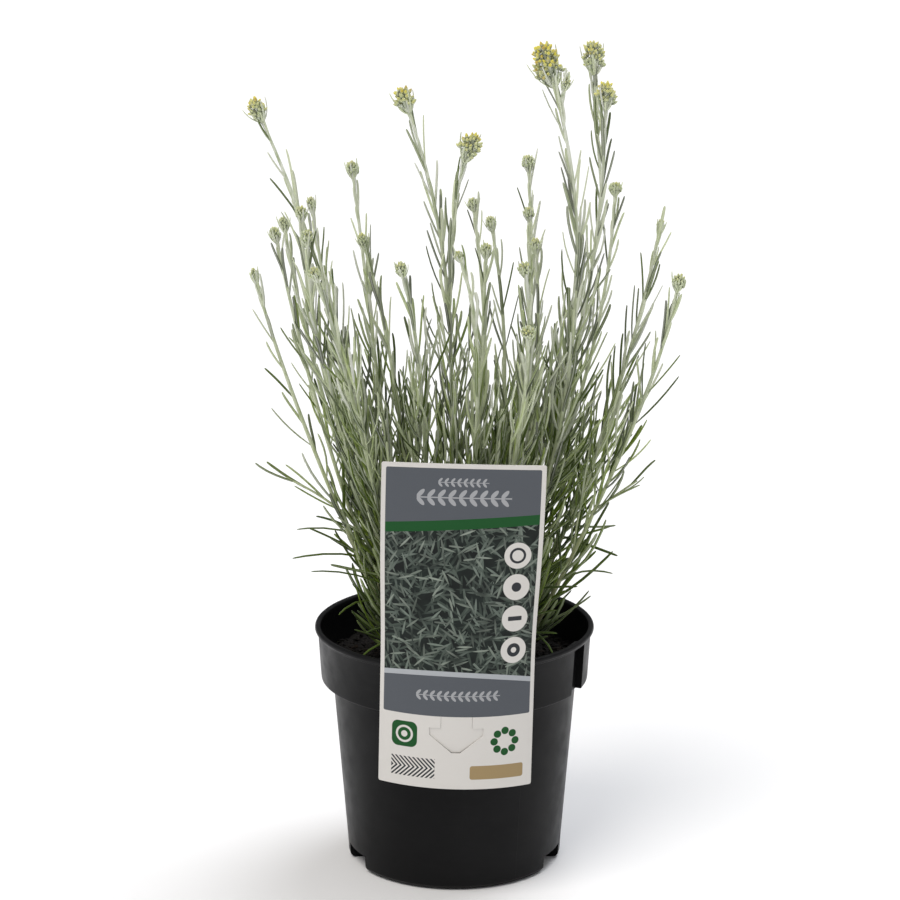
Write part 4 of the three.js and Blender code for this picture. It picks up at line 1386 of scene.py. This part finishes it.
def grow_cluster(growth, placing, place, axis, foot, count, size, number, ripeness):
    """A tight cluster of plump buds on its own stalk: one bud in the middle and the others round it."""
    turn_only = placing.to_3x3()
    across = axis.orthogonal().normalized()
    square = axis.cross(across)
    base = place - axis * 2.2 * size
    knee = Vector(((foot.x + base.x) / 2 * 1.3, (foot.y + base.y) / 2 * 1.3, (foot.z + base.z) / 2))
    stalk = [placing @ spot for spot in (foot, knee, base)]
    growth.add_line(STEM, stalk, None, stem_profile(5, 0.55, 0.5, 0.9), 0.9)
    for i in range(count):
        around = i * 2 * math.pi / (count - 1) + 0.7 * draw(number, i, 51)
        tilt = math.radians(0 if i == 0 else 48 + 22 * draw(number, i, 52))
        spread = across * math.cos(around) + square * math.sin(around)
        towards = axis * math.cos(tilt) + spread * math.sin(tilt)
        spot = base + towards * size * (1.5 if i == 0 else 1.2)
        lean = (towards + axis * 0.5 + UP * 0.35).normalized()
        ripe = ripeness * (0.7 + 0.6 * (draw(number, i, 53) - 0.3))
        scale = size * (0.82 + 0.3 * draw(number, i, 54))
        growth.add_bud(
            placing @ spot, turn_only @ lean, scale, draw(number, i, 55), max(0.0, min(1.0, ripe))
        )


def grow_open_head(growth, placing, width, height, number, ripeness):
    """An open head: clusters of buds that lean up and out on felted stalks, which fan out of its seat."""
    half = (height - TOP_BUD) / 2
    middle = height - half - TOP_BUD
    count = int(width * height / 25) + 2
    for i in range(count):
        level = 1 - (i + 0.3) / count * 1.5
        turn = i * GOLDEN_ANGLE + number
        girth = math.sqrt(max(0.0, 1 - level * level)) * (1 - 0.12 * level)
        outward = level_direction(turn)
        flat = girth * (width / 2 - 2.7) * (0.8 + 0.36 * draw(number, i, 11))
        place = outward * flat + UP * (middle + level * (half - 0.6))
        axis = (outward * (0.95 * girth) + UP).normalized()
        foot = outward * 0.5 + UP * max(0.3, place.z - height * 0.62)
        ripe = ripeness * (0.6 + 0.45 * level) * (0.75 + 0.5 * draw(number, i, 13))
        size = 0.74 + 0.2 * draw(number, i, 12)
        buds = 6 + int(2.9 * draw(number, i, 14))
        grow_cluster(growth, placing, place, axis, foot, buds, size, number * 50 + i, ripe)
    core = [placing @ (UP * up) for up in (-0.4, middle * 0.6, middle + half * 0.5)]
    growth.add_line(STEM, core, None, stem_profile(5, STEM_RADII[-1], 1.4, 1.2, 0.6), 0.8)
    grow_bracts(growth, placing, 7, width * 0.62, (height * 0.2, height * 0.5), number, 0.75)
    grow_bracts(growth, placing, 3, width * 1.05, (height * 0.5, height * 0.85), number + 60, 0.62)


def grow_closed_head(growth, placing, width, height, number, ripeness):
    """A closed head: a button of small unripe buds, over bracts that taper into its stem."""
    turn_only = placing.to_3x3()
    size = 0.6 * width / 6
    bud_length = 3.6 * size
    half = (height * 0.92 - bud_length * 0.6) / 2
    middle = height - bud_length * 0.6 - half
    for i in range(CLOSED_HEAD_BUDS):
        level = 1 - (i + 0.4) / CLOSED_HEAD_BUDS * 1.5
        turn = i * GOLDEN_ANGLE
        girth = math.sqrt(max(0.0, 1 - level * level)) * (1 - 0.1 * level)
        flat = girth * (width / 2 - 0.8) * (0.9 + 0.2 * draw(number, i, 20))
        outward = level_direction(turn)
        place = outward * flat + UP * (middle + level * half)
        axis = (outward * (0.6 * girth) + UP).normalized()
        ripe = (ripeness + 0.3 * level) * (0.4 + draw(number, i, 21))
        growth.add_bud(
            placing @ (place - axis * bud_length * 0.45),
            turn_only @ axis,
            size * (0.85 + 0.3 * draw(number, i, 22)),
            draw(number, i, 27),
            max(0.0, ripe),
        )
    core = [placing @ (UP * up) for up in (-0.4, height * 0.3, height * 0.7)]
    growth.add_line(STEM, core, None, stem_profile(4, STEM_RADII[-1], 1.3, width * 0.3, 0.6), 0.6)
    grow_bracts(growth, placing, 9, width * 0.86, (height * 0.45, height * 0.85), number, 0.62)
    grow_bracts(growth, placing, 3, width * 1.2, (height * 0.7, height * 1.05), number + 40, 0.5)


def fullness(place):
    """How full the bush is at a place: 1 inside its dense part and little outside it."""
    for below, above in zip(BUSH, BUSH[1:]):
        if below[0] <= place.z <= above[0]:
            share = (place.z - below[0]) / (above[0] - below[0])
            left, right, most = (a + (b - a) * share for a, b in zip(below[1:], above[1:]))
            outside = max(left - place.x, place.x - right, 0)
            full = most * max(0.0, 1 - outside / BUSH_FADE)
            for across, up, gap in HOLLOWS:
                full *= min(1.0, math.hypot(place.x - across, place.z - up) / gap)
            return full
    return 0.0


def grow_leaf(growth, curve, side, size, tone, chance=0.0, full_chance=1.0, sparse_chance=1.0):
    """Adds a leaf that is in the open, unless it is thinned out, the more the sparser the bush is there."""
    full = fullness(curve[-1])
    wanted = sparse_chance + (full_chance - sparse_chance) * full
    if chance < wanted and is_in_the_open(curve):
        growth.add_line(LEAF, curve, side, leaf_profile(size), tone)


# What share of the finer leaves is kept where the bush is full, and outside it: on the stems that bear
# leaves up to their heads, and on the others.
FULL_CHANCE = 0.88
LEAFY_STEMS = {
    "11": 1.0, "18": 1.0, "20": 0.75, "26": 0.35, "13": 0.1, "14": 0.2, "15": 0.2, "16": 0.45, "17": 0.3,
    "27": 1.0, "28": 0.75, "02": 0.8, "03": 0.8, "06": 0.8, "08": 0.55, "04": 0.25, "05": 0.15, "07": 0.1,
    "24": 0.35, "21": 0.5, "01": 0.45, "09": 0.6, "10": 0.45,
}
OTHER_STEMS = 0.25


def turned_out(place, turn):
    """A turn about a stem, mirrored if it points to the middle of the bush from a place beside it."""
    return math.pi - turn if abs(place.x) > 12 and place.x * math.cos(turn) > 0 else turn


# The finer leaves of a stem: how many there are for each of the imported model's, their length in
# millimetres and their angles in degrees at the stem's top, and by how much more they have low down.
FINE_LEAVES_PER_PACKED_LEAF = 1.5
FINE_LENGTH, FINE_LENGTH_LOW = 21, 20
FINE_ANGLE, FINE_ANGLE_LOW = 7, 58
FINE_TIP_ANGLE, FINE_TIP_ANGLE_LOW = 12, 50
# Up to this share of a stem most leaves spread away from the middle of the bush: this share of them.
FOOT_SHARE = 0.36
TURNED_OUT_SHARE = 0.75
# The oldest leaves, up to this share of a stem, are broader by up to this much.
BROAD_UP_TO = 0.5
BROADER_BY = 0.4


def broad_low(at):
    """How much broader a leaf is the lower it stands."""
    return 1 + BROADER_BY * max(0.0, 1 - at / BROAD_UP_TO)


def grow_leaves(growth, stem, shoot, name):
    """The leaves of one stem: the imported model's own, finer ones between them, and the long arching ones.
    Low leaves stand out and curve up. High ones lie against the stem and lean out at their tips."""
    packed = int(length_of(stem) / LEAF_PITCH + 0.5) + LEAVES_IN_FOOT
    for index in range(0, packed, LEAVES_PER_PACKED_LEAF):
        curve, side = leaf_curve(stem, shoot, index, packed)
        size = broad_low((index + 0.5) / packed) * (0.85 + 0.3 * draw(shoot, index, 3))
        grow_leaf(growth, curve, side, size, draw(shoot, index, 4))
    count = int(packed * FINE_LEAVES_PER_PACKED_LEAF)
    for index in range(count):
        at = ((index + 0.5) / count) ** LEAF_CROWDING * LEAF_REACH + LEAF_FIRST
        low = 1 - at
        turn = index * GOLDEN_ANGLE + math.radians(150 + 60 * draw(shoot, index, 30))
        if at < FOOT_SHARE and draw(shoot, index, 62) < TURNED_OUT_SHARE:
            turn = turned_out(point_on(stem, at), turn)
        curve, side = leaf_from(
            stem,
            at,
            turn,
            (FINE_LENGTH + FINE_LENGTH_LOW * low) * (0.72 + 0.46 * draw(shoot, index, 31)),
            FINE_ANGLE + FINE_ANGLE_LOW * low * (0.55 + 0.6 * draw(shoot, index, 32)),
            FINE_TIP_ANGLE
            + FINE_TIP_ANGLE_LOW * low * low * draw(shoot, index, 33)
            + 5 * draw(shoot, index, 38),
            draw(shoot, index, 34),
            0.2 * low * draw(shoot, index, 39),
        )
        size = broad_low(at) * (0.75 + 0.45 * draw(shoot, index, 35))
        bare_below, bare_above = max(0.1, (curve[-1].z - 200) / 50), 4 * (1.04 - at)
        sparse = LEAFY_STEMS.get(name, OTHER_STEMS) * min(1.0, bare_below, bare_above)
        tone, chance = draw(shoot, index, 36), draw(shoot, index, 37)
        grow_leaf(growth, curve, side, size, tone, chance, FULL_CHANCE, sparse)
    for number, (on, at, bend, tip) in enumerate(ARCHING_LEAVES):
        if on == name:
            curve, side = arching_curve(stem, at, bend, tip)
            growth.add_line(LEAF, curve, side, leaf_profile(1.0), draw(shoot, number, 6) * 0.4)


def grow_on_limb(growth, limb, seed, first, pitch, lengths, angles, chances=(1.0, 1.0)):
    """Leaves along a branch or a side shoot, from a share of the way up it: lengths and angles are given
    at its root and at its tip."""
    span = length_of(limb)
    count = int(span * (1 - first) / pitch)
    for index in range(count):
        item = 100 + index
        along = first + (0.98 - first) * (index + 0.5) / count
        length = lengths[0] + (lengths[1] - lengths[0]) * along
        curve, side = leaf_from(
            limb,
            along,
            index * GOLDEN_ANGLE + 0.6 * draw(seed, item, 43),
            length * (0.75 + 0.4 * draw(seed, item, 44)),
            angles[0] + (angles[1] - angles[0]) * along,
            angles[1] * 1.7 * draw(seed, item, 45),
            draw(seed, item, 46),
            0.1,
        )
        size = 0.75 + 0.3 * draw(seed, item, 47)
        grow_leaf(growth, curve, side, size, draw(seed, item, 48), draw(seed, item, 49), *chances)


def grow_sheath(growth, stem, seed, count):
    """Short leaves that lie close against a stem's end, under its head."""
    for index in range(count):
        curve, side = leaf_from(
            stem, 0.985 - 0.013 * index, index * GOLDEN_ANGLE, 9 + 4 * draw(seed, index, 60), 13, 6, 0.5
        )
        growth.add_line(LEAF, curve, side, leaf_profile(0.7), 0.7 + 0.3 * draw(seed, index, 61))


# The leafy side shoots of a stem: how far up the stem the lowest one leaves, as a share, and for each stem
# the step to the next and how many there are.
SIDE_SHOOTS_FROM = 0.1
SIDE_SHOOTS = {
    "11": (0.1, 6), "18": (0.1, 6), "20": (0.1, 6), "17": (0.11, 4), "16": (0.11, 5), "01": (0.13, 2),
    "02": (0.13, 3), "07": (0.13, 1), "05": (0.13, 1), "04": (0.13, 2), "03": (0.13, 3), "06": (0.13, 3),
    "26": (0.13, 3), "27": (0.13, 3), "28": (0.13, 3), "13": (0.11, 3), "14": (0.11, 3), "15": (0.11, 3),
    "23": (0.11, 3), "24": (0.11, 3),
}
OTHER_SIDE_SHOOTS = (0.11, 4)
# A side shoot's length at the foot of a stem, and by how much it is shorter at its top.
SIDE_SHOOT_LENGTH = 74
SIDE_SHOOT_TAPER = 50
SIDE_SHOOT_PITCH = 3.6


def grow_side_shoots(growth, stem, shoot, name):
    """Short leafy shoots on a stem, which fill the bush. They point to its middle from its edges."""
    step, shoots = SIDE_SHOOTS.get(name, OTHER_SIDE_SHOOTS)
    for number in range(shoots):
        at = SIDE_SHOOTS_FROM + step * (number + 0.6 * draw(shoot, number, 40))
        length = (SIDE_SHOOT_LENGTH - SIDE_SHOOT_TAPER * at) * (0.8 + 0.45 * draw(shoot, number, 41))
        turn = (shoot * 3 + number) * GOLDEN_ANGLE
        if abs(point_on(stem, at).x) > 20:
            turn = math.pi - turned_out(point_on(stem, at), turn)
        spray, _ = leaf_from(stem, at, turn, length, 27 - 20 * at, 13 - 8 * at, draw(shoot, number, 42))
        if not is_in_the_open(spray):
            continue
        growth.add_line(STEM, spray, None, stem_profile(10, 0.5, 0.45, 0.35), 0.3)
        seed = 1000 * (number + 1) + shoot
        grow_on_limb(growth, spray, seed, 0.12, SIDE_SHOOT_PITCH, (33, 21), (42, 16), (0.95, 0.05))


def felted_leaf(settings):
    """A needle leaf under white felt: green shows through the thin felt low in the plant, and the young
    leaves above are nearly all felt. Leaves low in the bush are also darkened with painted shade. The felt
    is matt and glows at its edges."""
    wanted = ("tone", "along", "groove")
    material, tree, place, tone, along, groove = new_material("felted needle leaf", *wanted)
    up = add(tree, "ShaderNodeSeparateXYZ", place).outputs["Z"]
    young = add(tree, "RANGE", up, 0.17, 0.36)
    patchy = add(tree, "RANGE", grain(tree, place, 5, 3.0), 0.35, 0.7, -0.15, 0.15)
    toned = add(tree, "RANGE", tone, 0, 1, -0.45, 0.5)
    felt = add(tree, "ADD", young, add(tree, "ADD", patchy, toned))
    root = add(tree, "RANGE", along, 0.0, 0.25, 0.4, 0.0)
    pale = add(tree, "MAXIMUM", root, add(tree, "MULTIPLY", groove, 0.45))
    base = layered(
        tree,
        tuple(settings.green),
        (felt, tuple(settings.silver)),
        # Every second or third leaf turns a darker, barer face to the light.
        (
            add(tree, "RANGE", tone, 0.12, 0.62, 0.95, 0.0),
            layered(tree, colour("2f3c18"), (young, colour("616b4e"))),
        ),
        (pale, tuple(settings.stem)),
        # Leaves low in the bush, near the rim, are darkened towards a deep olive: painted shade.
        (add(tree, "RANGE", up, 0.12, 0.215, 0.75, 0.0), colour("42522a")),
    )
    # Leaves also differ in hue, from grey to yellow-green. None is grey low in the plant.
    hue = add(tree, "FRACT", add(tree, "MULTIPLY", tone, 23.0))
    least = add(tree, "RANGE", up, 0.16, 0.27, 1.05, 0.6)
    richness = add(tree, "RANGE", hue, 0.0, 1.0, least, 1.75)
    values = {
        "Base Color": add(tree, "ShaderNodeHueSaturation", {"Saturation": richness, "Color": base}),
        "Roughness": 0.62,
        "IOR": 1.42,
        "Sheen Weight": 0.15,
        "Sheen Roughness": 0.5,
    }
    # The felt's tufts are far finer than they show: they are drawn 0.5 mm long.
    return painted(material, values, grain(tree, place, 0.5, 3.0, (1, 1, 0.35)), 0.12)


def felted_stem(settings):
    """A young stem in thick white felt, woody and brown only in the last centimetres above the mix."""
    material, tree, place = new_material("felted stem")
    up = add(tree, "ShaderNodeSeparateXYZ", place).outputs["Z"]
    streak = grain(tree, place, 1.6, 3.0, (1, 1, 0.12))
    base = layered(
        tree,
        tuple(settings.stem),
        (add(tree, "RANGE", streak, 0.4, 0.75), colour("a3af8c")),
        (add(tree, "RANGE", up, 0.15, 0.36, 0.8, 0.1), colour("adba7c")),
        (add(tree, "RANGE", up, 0.115, 0.2, 0.9, 0.0), colour("6a6545")),
    )
    values = {
        "Base Color": base,
        "Roughness": 0.7,
        "IOR": 1.42,
        "Sheen Weight": 0.3,
        "Sheen Roughness": 0.45,
    }
    return painted(material, values, streak, 0.18)


def papery_bud(settings):
    """A bud in dry papery bracts: darkened at the foot with painted shade between the crowded buds, green and
    felted above it, straw yellow to gold at a ripe tip.
    """
    material, tree, place, tone, along, ripe = new_material("papery bracts", "tone", "along", "ripe")
    # Each bud's foot is darkened to olive, the darker the riper the bud: painted shade in the gaps between
    # crowded buds.
    painted_foot_shade = layered(tree, colour("76835a"), (ripe, colour("2b2d15")))
    out_of_foot = add(tree, "RANGE", along, 0.15, 0.6)
    golden = add(tree, "RANGE", tone, 0.7, 1.0)
    gold = layered(tree, tuple(settings.yellow), (golden, colour("bfa028")))
    near_tip = add(tree, "RANGE", along, 0.4, 0.7)
    tip = add(tree, "MULTIPLY", near_tip, add(tree, "RANGE", ripe, 0.13, 0.85))
    felt = add(tree, "SUBTRACT", 0.6, add(tree, "MULTIPLY", tip, 0.5))
    patchy = add(tree, "RANGE", grain(tree, place, 0.8, 3.0), 0.35, 0.7)
    patch = add(tree, "MULTIPLY", patchy, felt)
    layers = ((out_of_foot, tuple(settings.green)), (tip, gold), (patch, colour("f9f9ec")))
    values = {"Base Color": layered(tree, painted_foot_shade, *layers), "Roughness": 0.58, "Sheen Weight": 0.2}
    return painted(material, values, grain(tree, place, 0.35, 3.0, (1, 1, 0.4)), 0.1)


def branches_of(name, stem):
    """The side branches that leave a stem, with their curves."""
    for branch, on, start, bend, end, size in BRANCHES:
        if on == name:
            yield branch, (point_on(stem, start), Vector(bend), Vector(end)), size


def leafy_stems():
    """Each stem grown with its leaves, with its slot and its node."""
    for shoot, (name, low, high, end, _) in enumerate(SHOOTS):
        stem = stem_curve(low, high, end)
        growth = Growth(f"leafy_stem_{name}_needles")
        growth.add_line(STEM, stem, None, stem_profile(40, *STEM_RADII), draw(shoot, 0, 9))
        for _, branch, _ in branches_of(name, stem):
            growth.add_line(STEM, branch, None, stem_profile(14, STEM_RADII[-1], STEM_RADII[-1]), 0.5)
            if length_of(branch) > LEAFY_BRANCH_FROM:
                grow_on_limb(growth, branch, 900 + shoot, 0.1, 3.4, (24, 12), (22, 11))
                grow_sheath(growth, branch, 900 + shoot, 3)
        grow_leaves(growth, stem, shoot, name)
        grow_sheath(growth, stem, shoot, 3 if name in RIPENESS else 6)
        if name in SLIM_TIPS:
            grow_closed_head(growth, head_placing(stem), *SLIM_TIPS[name], shoot, UNRIPE)
        for seed, (on, at, bend, tip) in enumerate(ARCHING_SHOOTS):
            if on == name:
                spray, _ = arching_curve(stem, at, bend, tip)
                growth.add_line(STEM, spray, None, stem_profile(10, 0.7, 0.65, 0.5), 0.3)
                grow_on_limb(growth, spray, 700 + seed, 0.35, 9.0, (26, 21), (20, 10))
        grow_side_shoots(growth, stem, shoot, name)
        yield growth, "felted_foliage", f"leafy_stem_{name}"


def flower_heads():
    """The head grown on each stem and branch that bears one, with its slot and its node."""
    heads = []
    for name, low, high, end, size in SHOOTS:
        stem = stem_curve(low, high, end)
        heads += [(name, stem, size), *branches_of(name, stem)]
    for number, (name, stem, size) in enumerate(heads):
        if size is None:
            continue
        growth = Growth(f"flower_head_{name}_buds")
        is_open = size[0] > OPEN_FROM_WIDTH
        grow_head = grow_open_head if is_open else grow_closed_head
        grow_head(growth, head_placing(stem), *size, number, RIPENESS.get(name, UNRIPE))
        yield growth, "open_buds" if is_open else "closed_buds", f"flower_head_{name}"


def seat_growths(scene, growths):
    """Turns growths into finished pieces, and seats each in place of its node."""
    foliage, heads = scene.plant_foliage, scene.plant_heads
    tree = growth_tree()
    bud = link(bud_object())
    values = {
        "Stem width": 2 * MM,
        "Leaf width": foliage.leaf_width,
        "Leaf thickness": foliage.leaf_thickness,
        "Bud": bud,
        "Bud width": heads.bud_width,
        "Bud length": heads.bud_length,
        "Stem material": felted_stem(foliage),
        "Leaf material": felted_leaf(foliage),
        "Bud material": papery_bud(heads),
    }
    for growth, slot, node in growths:
        seat(grow(growth.piece(), tree, values), slot, node)
    bpy.data.objects.remove(bud)


class PLANT_OT_leafy_stems(bpy.types.Operator):
    """Makes the stems with their leaves"""

    bl_idname = "potted_plant.leafy_stems"
    bl_label = "Leafy stems"

    def execute(self, context):
        seat_growths(context.scene, leafy_stems())
        return {"FINISHED"}


class PLANT_OT_flower_heads(bpy.types.Operator):
    """Makes the open and the closed flower heads"""

    bl_idname = "potted_plant.flower_heads"
    bl_label = "Flower heads"

    def execute(self, context):
        seat_growths(context.scene, flower_heads())
        return {"FINISHED"}


# The stage


FLOOR_HALF = 90000
# The soft lights: the way to each, its share of the light, and its tint.
LIGHTS = {
    "soft_key": ((-0.55, -0.75, 1.5), 0.5, "fffaf4"),
    "soft_top": ((0.5, 0.5, 1.6), 0.5, "f8faff"),
}
LIGHT_ANGLE = math.radians(32)


class PLANT_OT_stage(bpy.types.Operator):
    """Makes the plain floor, the soft lights and the camera"""

    bl_idname = "potted_plant.stage"
    bl_label = "Stage"

    def execute(self, context):
        scene = context.scene
        settings = scene.plant_stage
        corners = [(x * FLOOR_HALF, y * FLOOR_HALF, 0) for x, y in ((-1, -1), (1, -1), (1, 1), (-1, 1))]
        floor = mesh_piece("studio_floor", corners, [(0, 1, 2, 3)])
        material = bpy.data.materials.new("pale matt floor")
        material.use_nodes = True
        values = {"Base Color": tuple(settings.floor), "Roughness": 0.9}
        floor.data.materials.append(painted(material, values))
        floor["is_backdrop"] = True

        world = bpy.data.worlds.new("soft studio")
        world.use_nodes = True
        tree = world.node_tree
        # The room is bright above and at the sides, and dark behind the camera.
        way = add(tree, "ShaderNodeTexCoord").outputs["Generated"]
        axes = add(tree, "ShaderNodeSeparateXYZ", way).outputs
        above = add(tree, "RANGE", axes["Z"], 0.0, 0.9)
        beside = add(tree, "RANGE", add(tree, "ABSOLUTE", axes["X"]), 0.4, 0.95)
        strength = add(tree, "RANGE", add(tree, "ADD", above, beside), 0, 1, 0.12, 0.46)
        background = tree.nodes["Background"]
        feed(tree, background.inputs["Strength"], strength)
        feed(tree, background.inputs["Color"], colour("fbfcff"))
        scene.world = world

        for name, (direction, share, tint) in LIGHTS.items():
            light = bpy.data.lights.new(name, "SUN")
            light.angle = LIGHT_ANGLE
            light.energy = settings.light * share
            light.color = colour(tint)[:3]
            lamp = link(bpy.data.objects.new(name, light))
            lamp.rotation_euler = Vector(direction).to_track_quat("Z", "Y").to_euler()

        lens = bpy.data.cameras.new("photo_camera")
        lens.lens = CAMERA_LENS
        lens.sensor_width = 36
        lens.clip_start = 0.05
        lens.clip_end = 500
        camera = link(bpy.data.objects.new("photo_camera", lens))
        camera.location = Vector(CAMERA_PLACE) * MM
        camera.rotation_euler = (math.pi / 2 - CAMERA_PITCH, 0, 0)
        scene.camera = camera
        scene.view_settings.view_transform = "Standard"
        return {"FINISHED"}


OPERATORS = (
    PLANT_OT_pot,
    PLANT_OT_potting_mix,
    PLANT_OT_label,
    PLANT_OT_leafy_stems,
    PLANT_OT_flower_heads,
    PLANT_OT_stage,
)


class PLANT_PT_sidebar(bpy.types.Panel):
    """Lists the pieces of the potted plant and their settings"""

    bl_label = "Potted plant"
    bl_idname = "PLANT_PT_sidebar"
    bl_space_type = "VIEW_3D"
    bl_region_type = "UI"
    bl_category = "Plant"

    def draw(self, context):
        for operator in OPERATORS:
            self.layout.operator(operator.bl_idname)
        for name, group in SETTINGS.items():
            box = self.layout.box()
            box.label(text=name.replace("_", " "))
            for setting in group.__annotations__:
                box.prop(getattr(context.scene, name), setting)


CLASSES = (*SETTINGS.values(), *OPERATORS, PLANT_PT_sidebar)


def register():
    for entry in CLASSES:
        bpy.utils.register_class(entry)
    for name, group in SETTINGS.items():
        setattr(bpy.types.Scene, name, PointerProperty(type=group))


def unregister():
    for name in SETTINGS:
        delattr(bpy.types.Scene, name)
    for entry in reversed(CLASSES):
        bpy.utils.unregister_class(entry)


def main():
    register()
    for operator in OPERATORS:
        family, name = operator.bl_idname.split(".")
        getattr(getattr(bpy.ops, family), name)()
    boxes = {"cad": CAD_BOX, "visual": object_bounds()}
    lists = {name: [list(corner) for corner in corners] for name, corners in boxes.items()}


if __name__ == "__main__":
    main()
